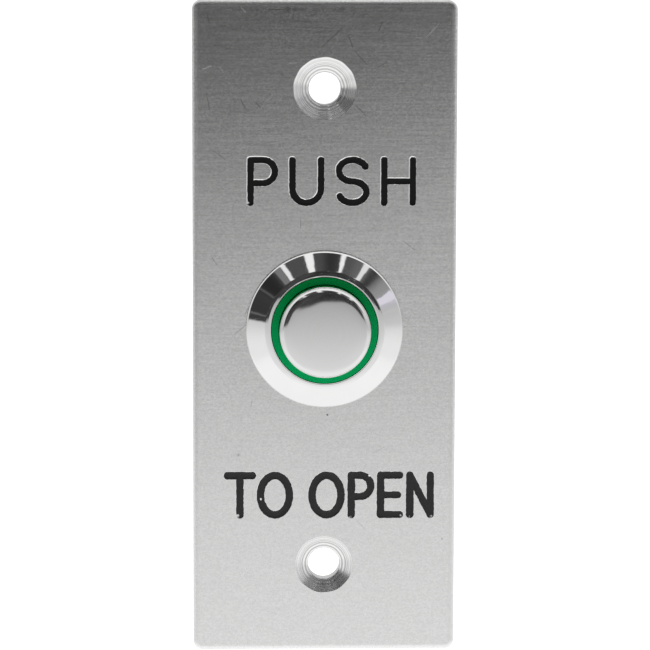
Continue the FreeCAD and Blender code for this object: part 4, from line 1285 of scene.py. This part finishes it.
# Painted shade: the upper part of the ring gets a darker green and the lower part a lighter one.
painted_lit_green = skin["Shade"].blend((0.0015, 0.34, 0.095), (0.002, 0.43, 0.125))
painted_shade_green = skin["Shade"].blend((0.0005, 0.2, 0.04), (0.0008, 0.25, 0.055))
green = position.axis("Z").remap(-0.004, 0.0075).blend(painted_lit_green, painted_shade_green)
finish_with(
    shader,
    (dust * 0.5).blend(green, (0.5, 0.7, 0.55)),
    skin["Height"].remap(0.3, 0.7, 0.34, 0.46),
    skin["Height"].bump(0.1, 0.00003),
)

# %% [markdown]
# ## Finishes of the hidden pieces
#
# Behind the plate are plated metals, moulded plastics, rubber and resin. They differ in a few
# numbers only, so two recipes make them all: one for metals and one for plastics.


# %% Recipes for metals and plastics
def metal_finish(name, dark, light, roughness):
    material, shader, position = new_material(name, metallic=1.0)
    grain = position.through(brushed_grain, Fineness=3000.0, Streak=1.0)
    lines = position.through(scratches, Density=500.0, Share=0.4, Length=0.0014, Width=0.00008)
    rough = grain["Shade"].remap(0.3, 0.7, roughness * 1.25, roughness * 0.8, smooth=False)
    finish_with(
        shader,
        grain["Shade"].blend(dark, light),
        lines["Mask"] * 0.1 + rough,
        grain["Height"].bump(0.12, 0.00002),
    )
    return material


def plastic_finish(name, dark, light, roughness, skin_size=4500.0, strength=0.25):
    material, shader, position = new_material(name)
    skin = position.through(moulded_skin, Fineness=skin_size)
    dust = position.through(specks, Density=500.0, Share=0.08)["Mask"]
    pale = tuple(min(0.5 * (part + 0.6), 1) for part in light)
    finish_with(
        shader,
        (dust * 0.25).blend(skin["Shade"].blend(dark, light), pale),
        skin["Height"].remap(0.3, 0.7, roughness * 0.85, roughness * 1.15),
        skin["Height"].bump(strength, 0.00003),
    )
    return material


nickel = metal_finish("nickel_plate", (0.62, 0.59, 0.54), (0.80, 0.77, 0.72), 0.2)
zinc = metal_finish("zinc_plate", (0.55, 0.56, 0.58), (0.78, 0.79, 0.81), 0.3)
tinned = metal_finish("tinned_brass", (0.66, 0.65, 0.62), (0.86, 0.85, 0.82), 0.27)
bronze = metal_finish("spring_bronze", (0.55, 0.33, 0.16), (0.80, 0.52, 0.28), 0.3)
silver = metal_finish("contact_silver", (0.80, 0.79, 0.76), (0.94, 0.93, 0.90), 0.18)
wire = metal_finish("spring_wire", (0.45, 0.45, 0.46), (0.72, 0.72, 0.73), 0.25)
black = plastic_finish("black_polyester", (0.012, 0.012, 0.013), (0.022, 0.022, 0.024), 0.45)
dark_grey = plastic_finish("dark_grey_polyester", (0.02, 0.02, 0.021), (0.034, 0.034, 0.036), 0.5)
natural = plastic_finish("natural_acetal", (0.66, 0.65, 0.61), (0.76, 0.75, 0.71), 0.38)
nylon = plastic_finish("black_nylon", (0.014, 0.014, 0.015), (0.026, 0.026, 0.027), 0.5)
potting = plastic_finish(
    "potting_resin", (0.015, 0.014, 0.013), (0.028, 0.026, 0.024), 0.18, 900.0, 0.2
)
rubber = plastic_finish(
    "nitrile_rubber", (0.014, 0.014, 0.014), (0.026, 0.026, 0.025), 0.75, 2500.0, 0.4
)
print("finishes:", sorted(material.name for material in bpy.data.materials))

# %% Circuit board
# Green solder mask over copper: the tracks show as slightly lighter rings.
board_green, shader, position = new_material("solder_mask_board")
track = position.flattened().apart_from(0, 0).math("PINGPONG", 0.0006).remap(0.00024, 0.0003)
finish_with(
    shader,
    track.blend((0.008, 0.13, 0.045), (0.02, 0.2, 0.07)),
    position.through(moulded_skin, Fineness=6000.0)["Height"].remap(0.3, 0.7, 0.25, 0.4),
    track.bump(0.4, 0.00003),
)


# %% Lamps and resistors
# A chip lamp is a white housing with a yellow window; a chip resistor is black with tinned ends.
BODY_DEPTH = 0.00006


def chip_finish(name, front_y, front, body, front_depth, skin_size, roughness):
    """A chip whose thin front layer has another colour than its body."""
    material, shader, position = new_material(name)
    behind = position.axis("Y").remap(front_y + front_depth, front_y + BODY_DEPTH)
    skin = position.through(moulded_skin, Fineness=skin_size)["Height"]
    finish_with(
        shader,
        behind.blend(front, body),
        skin.remap(0.3, 0.7, *roughness),
        skin.bump(0.15, 0.00002),
    )
    return material


lamp_white = chip_finish(
    "lamp_housing",
    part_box("lamps")[0].y,
    (0.80, 0.66, 0.22),
    (0.78, 0.77, 0.73),
    0.00002,
    5000.0,
    (0.3, 0.45),
)
chip_black = chip_finish(
    "chip_resistor",
    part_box("lamp_resistors")[0].y,
    (0.015, 0.015, 0.016),
    (0.62, 0.60, 0.56),
    0.00003,
    6000.0,
    (0.35, 0.5),
)

# %% Put every finish on its piece
for finish in (plate_steel, turned_steel, letter_paint):
    plate.data.materials.append(finish)

WEARS = {
    bezel: polished,
    cap: cap_metal,
    ring: ring_green,
    nut: nickel,
    housing: black,
    base: dark_grey,
    resin: potting,
    edged["lock_washer"]: zinc,
    edged["contact_bridge"]: bronze,
    edged["bridge_clip"]: wire,
    nodes["head_gasket"]: rubber,
    nodes["cap_carrier"]: nylon,
    nodes["plunger_seal"]: rubber,
    nodes["plunger_stem"]: natural,
    nodes["return_spring"]: wire,
    nodes["lamp_board"]: board_green,
    nodes["lamps"]: lamp_white,
    nodes["lamp_resistors"]: chip_black,
    nodes["fixed_contact_tips"]: silver,
    nodes["bridge_contact_tips"]: silver,
}
WEARS.update({piece: tinned for node, piece in edged.items() if node.startswith("terminal")})
for piece, finish in WEARS.items():
    piece.data.materials.clear()
    piece.data.materials.append(finish)

# %% [markdown]
# ## The studio
#
# Polished metal shows its surroundings, so the studio matters as much as the metal. The switch
# stands in a light tent: white below and at the sides, open and dark in front above the table,
# where the camera is. One node group works out the tent's glow from a direction, as a sideways
# angle, a height angle, an angle off the axis and a clock angle round it, all in degrees. The
# world uses it for soft light, and a sphere as far away as the camera shows it to reflections, so
# that they shift with the place on the plate as they do in a real tent.

# %% Glow: directions
studio_glow, given, glow_end = new_group(
    "studio_glow", {"Position": None}, ["Glow"], "NodeSocketColor"
)
DEGREES = 180 / math.pi
direction = given["Position"]
forward = direction.axis("Y") * -1.0
sideways = direction.axis("X").math("ARCTAN2", forward) * DEGREES
height = direction.axis("Z").math("ARCSINE") * DEGREES
off_axis = forward.math("ARCCOSINE") * DEGREES
clock = direction.axis("X").math("ARCTAN2", direction.axis("Z")) * DEGREES


# %% Helper: a curve through knots
def knotted(signal, knots, low_end=0.0, high_end=1.0):
    """A smooth function through (angle, value) knots. The ends say what its 0 and 1 stand for."""
    low, high = knots[0][0], knots[-1][0]
    span = high_end - low_end
    places = [((angle - low) / (high - low), (value - low_end) / span) for angle, value in knots]
    node = signal.tree.nodes.new("ShaderNodeFloatCurve")
    curve = node.mapping.curves[0]
    for point, place in zip(curve.points, (places[0], places[-1])):
        point.location = place
    for place in places[1:-1]:
        curve.points.new(*place)
    node.mapping.update()
    feed(node, {"Value": signal.remap(low, high, smooth=False)})
    return Signal(node.outputs[0]) * span + low_end


# %% Glow: the table below
# Near the camera the table is greyer. It brightens downwards and to the sides.
TABLE_GLOW = [
    (-90, 0.97), (-55, 0.97), (-31, 0.95), (-22, 0.8), (-16, 0.765), (-8, 0.64),
    (-1, 0.505), (3, 0.45),
]
side_lift = abs(sideways).remap(18.0, 48.0) * height.remap(-40.0, -5.0, 0.0, 0.12)
lit_table = knotted(height, TABLE_GLOW).math("ADD", side_lift, clamp=True)

# %% Glow: the dark opening
# Above the table's far edge one looks out of the tent, past the camera. The opening's lower edge is
# uneven: it is highest a little right of the camera and lowest far out on the left. Far out on the
# right it turns soft. Inside the opening it is murky, with a few pale flecks.
EDGE_HEIGHT = [
    (-60, -5.0), (-54, -4.0), (-48, -1.4), (-40, -1.2), (-30, -3.0), (-23, -3.3),
    (-19, -2.0), (-17.6, 2.2), (-15.5, 3.4), (-10.5, 1.6), (-7, 1.0), (-4, 2.2), (0, 3.0),
    (6, 5.2), (8.5, 5.4), (13, 4.4), (18.7, 0.7), (26, 0.3), (38, -0.5), (48, -2.5),
    (60, -3.0),
]
drift = direction.noise(7.0, 4.0, 0.6) - 0.5
edge_height = drift * 1.4 + knotted(sideways, EDGE_HEIGHT, -10.0, 10.0)
softness = sideways.remap(28.0, 46.0, 0.6, 5.0) + sideways.remap(-12.0, -2.0, 0.5, 0.0)
over_table = (height - edge_height).remap(softness * -1.0, softness)
murk = direction.noise(9.0, 3.0, 0.6).remap(0.3, 0.7, 0.028, 0.06)
flecks = direction.noise(26.0, 2.0, 0.5).remap(0.66, 0.72, 0.0, 0.3)

# %% Glow: the tent's front
# Round the opening's far part hangs grey cloth. Its shade changes with the clock angle: it is
# nearly black at the upper left and pale at the right.
FRONT_SHADE = [
    (-100, 0.07), (-84, 0.04), (-68, 0.04), (-58, 0.022), (-50, 0.032), (-46, 0.06),
    (-25, 0.08), (-3, 0.07), (8, 0.036), (14, 0.045), (26, 0.09), (36, 0.13), (44, 0.12),
    (50, 0.05), (55, 0.15), (61, 0.26), (68, 0.33), (74, 0.5), (84, 0.54), (100, 0.46),
]
front_glow = knotted(clock, FRONT_SHADE) * (drift * 0.5 + 1.0)
dark_glow = off_axis.remap(24.0, 38.0).mix(murk + flecks, front_glow)

# %% Glow: gaps and a card
# Folds in the tent's front leave narrow bright gaps, and a pale card with a wavy outline stands at
# the right. A gap is a clock angle, a width and a strength.
GAPS = [
    (-36.8, 4.4, 0.86), (-12.0, 7.6, 0.93), (19.8, 4.2, 0.92), (40.9, 5.4, 0.78),
    (-42.8, 6.6, 0.19), (-64.5, 3.0, 0.09), (-85.6, 2.2, 0.13),
]
GAP_EDGE = 0.9
CARD_CLOCK, CARD_GLOW = 74.5, 0.78
for angle, width, strength in GAPS:
    bar = abs(clock - angle).remap(width / 2 - GAP_EDGE, width / 2 + GAP_EDGE, strength, 0.0)
    dark_glow = dark_glow.maximum(bar * off_axis.remap(27.0, 32.0))
card = abs(drift * 16.0 + clock - CARD_CLOCK).remap(2.5, 7.5, 1.0, 0.0)
card = card * off_axis.remap(40.0, 44.0)
dark_glow = dark_glow.maximum(card * CARD_GLOW)

# %% Glow: the roof, and everything together
# The front ends where the roof begins, further out at the upper left than at the right.
ROOF_GLOW = [(-10, 0.62), (0, 0.62), (15, 0.7), (35, 0.85), (60, 0.97), (90, 1.0)]
FRONT_END = [(-100, 54), (-75, 57), (-62, 63), (-45, 67), (-20, 67), (0, 60), (40, 58), (100, 60)]
in_front = (off_axis - knotted(clock, FRONT_END, 0.0, 100.0)).remap(-2.0, 2.0, 1.0, 0.0)
upper = in_front.mix(knotted(height, ROOF_GLOW), dark_glow)
whole = over_table.mix(lit_table, upper)
tint = (card * in_front).blend((1, 1, 1), (0.95, 0.92, 1.03))
feed(glow_end, {"Glow": tint.vector("MULTIPLY", whole)})
print("studio glow:", len(studio_glow.nodes), "nodes")


# %% Tent
# A sphere that only reflections see. Its shadow and its diffuse light are left to the world.
def empty_tree(owner):
    owner.use_nodes = True
    owner.node_tree.nodes.clear()
    return owner.node_tree


def end_with(tree, kind, output):
    """Link a shader to the tree's own output node."""
    feed(tree.nodes.new(kind), {"Surface": Signal(output)})


def glow_toward(tree, coordinate):
    """The studio's glow in the direction of a texture coordinate, made a unit long first."""
    toward = Signal(tree.nodes.new("ShaderNodeTexCoord").outputs[coordinate])
    return toward.vector("NORMALIZE").through(studio_glow)["Glow"]


TENT_RADIUS = 0.47
tent_shape = bmesh.new()
bmesh.ops.create_icosphere(tent_shape, subdivisions=5, radius=TENT_RADIUS)
tent = add_object("light_tent", mesh_from("light_tent", tent_shape))
tent.visible_camera = tent.visible_diffuse = tent.visible_shadow = False
for polygon in tent.data.polygons:
    polygon.use_smooth = True

tent_glow = bpy.data.materials.new("tent_glow")
tree = empty_tree(tent_glow)
tent_glow.cycles.emission_sampling = "NONE"
cloth = feed(tree.nodes.new("ShaderNodeEmission"), {"Color": glow_toward(tree, "Object")})
end_with(tree, "ShaderNodeOutputMaterial", cloth.outputs[0])
tent.data.materials.append(tent_glow)

# %% World
# The camera sees plain white behind everything; matt surfaces get the tent's soft light.
world = bpy.data.worlds.new("studio")
bpy.context.scene.world = world
tree = empty_tree(world)
world.cycles_visibility.glossy = False
seen = Signal(tree.nodes.new("ShaderNodeLightPath").outputs["Is Camera Ray"])
light = seen.blend(glow_toward(tree, "Generated"), (1, 1, 1))
backdrop = feed(tree.nodes.new("ShaderNodeBackground"), {"Color": light})
end_with(tree, "ShaderNodeOutputWorld", backdrop.outputs[0])

# %% Floor
# The floor is pale and matt, and keeps the object's shadow. A little glow of its own makes it run
# into the white behind it; from below it is clear, so that it hides nothing.
FLOOR_SIZE = 6.0
FLOOR_LIFT = {"camera": 0.6, "others": 0.3}
floor_shape = bmesh.new()
bmesh.ops.create_grid(floor_shape, x_segments=1, y_segments=1, size=FLOOR_SIZE / 2)
floor_level = solids_box[0].z - 0.00005
bmesh.ops.translate(floor_shape, vec=(0, 0, floor_level), verts=floor_shape.verts)
floor = add_object("floor", mesh_from("floor", floor_shape))
floor.visible_glossy = False

pale_floor = bpy.data.materials.new("pale_floor")
tree = empty_tree(pale_floor)
matt = feed(tree.nodes.new("ShaderNodeBsdfDiffuse"), {"Color": (0.82, 0.82, 0.82, 1)})
seen = Signal(tree.nodes.new("ShaderNodeLightPath").outputs["Is Camera Ray"])
own_glow = seen.remap(0.0, 1.0, FLOOR_LIFT["others"], FLOOR_LIFT["camera"])
lift = feed(tree.nodes.new("ShaderNodeEmission"), {"Strength": own_glow})
lit_floor = tree.nodes.new("ShaderNodeAddShader")
feed(lit_floor, {0: Signal(matt.outputs[0]), 1: Signal(lift.outputs[0])})
clear = tree.nodes.new("ShaderNodeBsdfTransparent")
from_below = Signal(tree.nodes.new("ShaderNodeNewGeometry").outputs["Backfacing"])
one_sided = tree.nodes.new("ShaderNodeMixShader")
feed(one_sided, {0: from_below, 1: Signal(lit_floor.outputs[0]), 2: Signal(clear.outputs[0])})
end_with(tree, "ShaderNodeOutputMaterial", one_sided.outputs[0])
floor.data.materials.append(pale_floor)


# %% Lamps
def soft_lamp(name, place, power):
    """A wide area lamp that looks at the switch, and that no reflection shows."""
    lamp = bpy.data.lights.new(name, "AREA")
    lamp.shape, lamp.size, lamp.energy = "DISK", 0.5, power
    holder = add_object(name, lamp)
    holder.location = place
    holder.rotation_euler = (-Vector(place)).to_track_quat("-Z", "Y").to_euler()
    holder.visible_glossy = holder.visible_camera = False


soft_lamp("lamp_left", (-0.6, -0.45, 0.3), 0.5)
soft_lamp("lamp_behind", (0.4, 0.6, 0.5), 1.5)

# %% Colour management, and the solids' bounds
bpy.context.scene.view_settings.view_transform = "Standard"
print("solids", [round(v, 4) for c in solids_box for v in c])
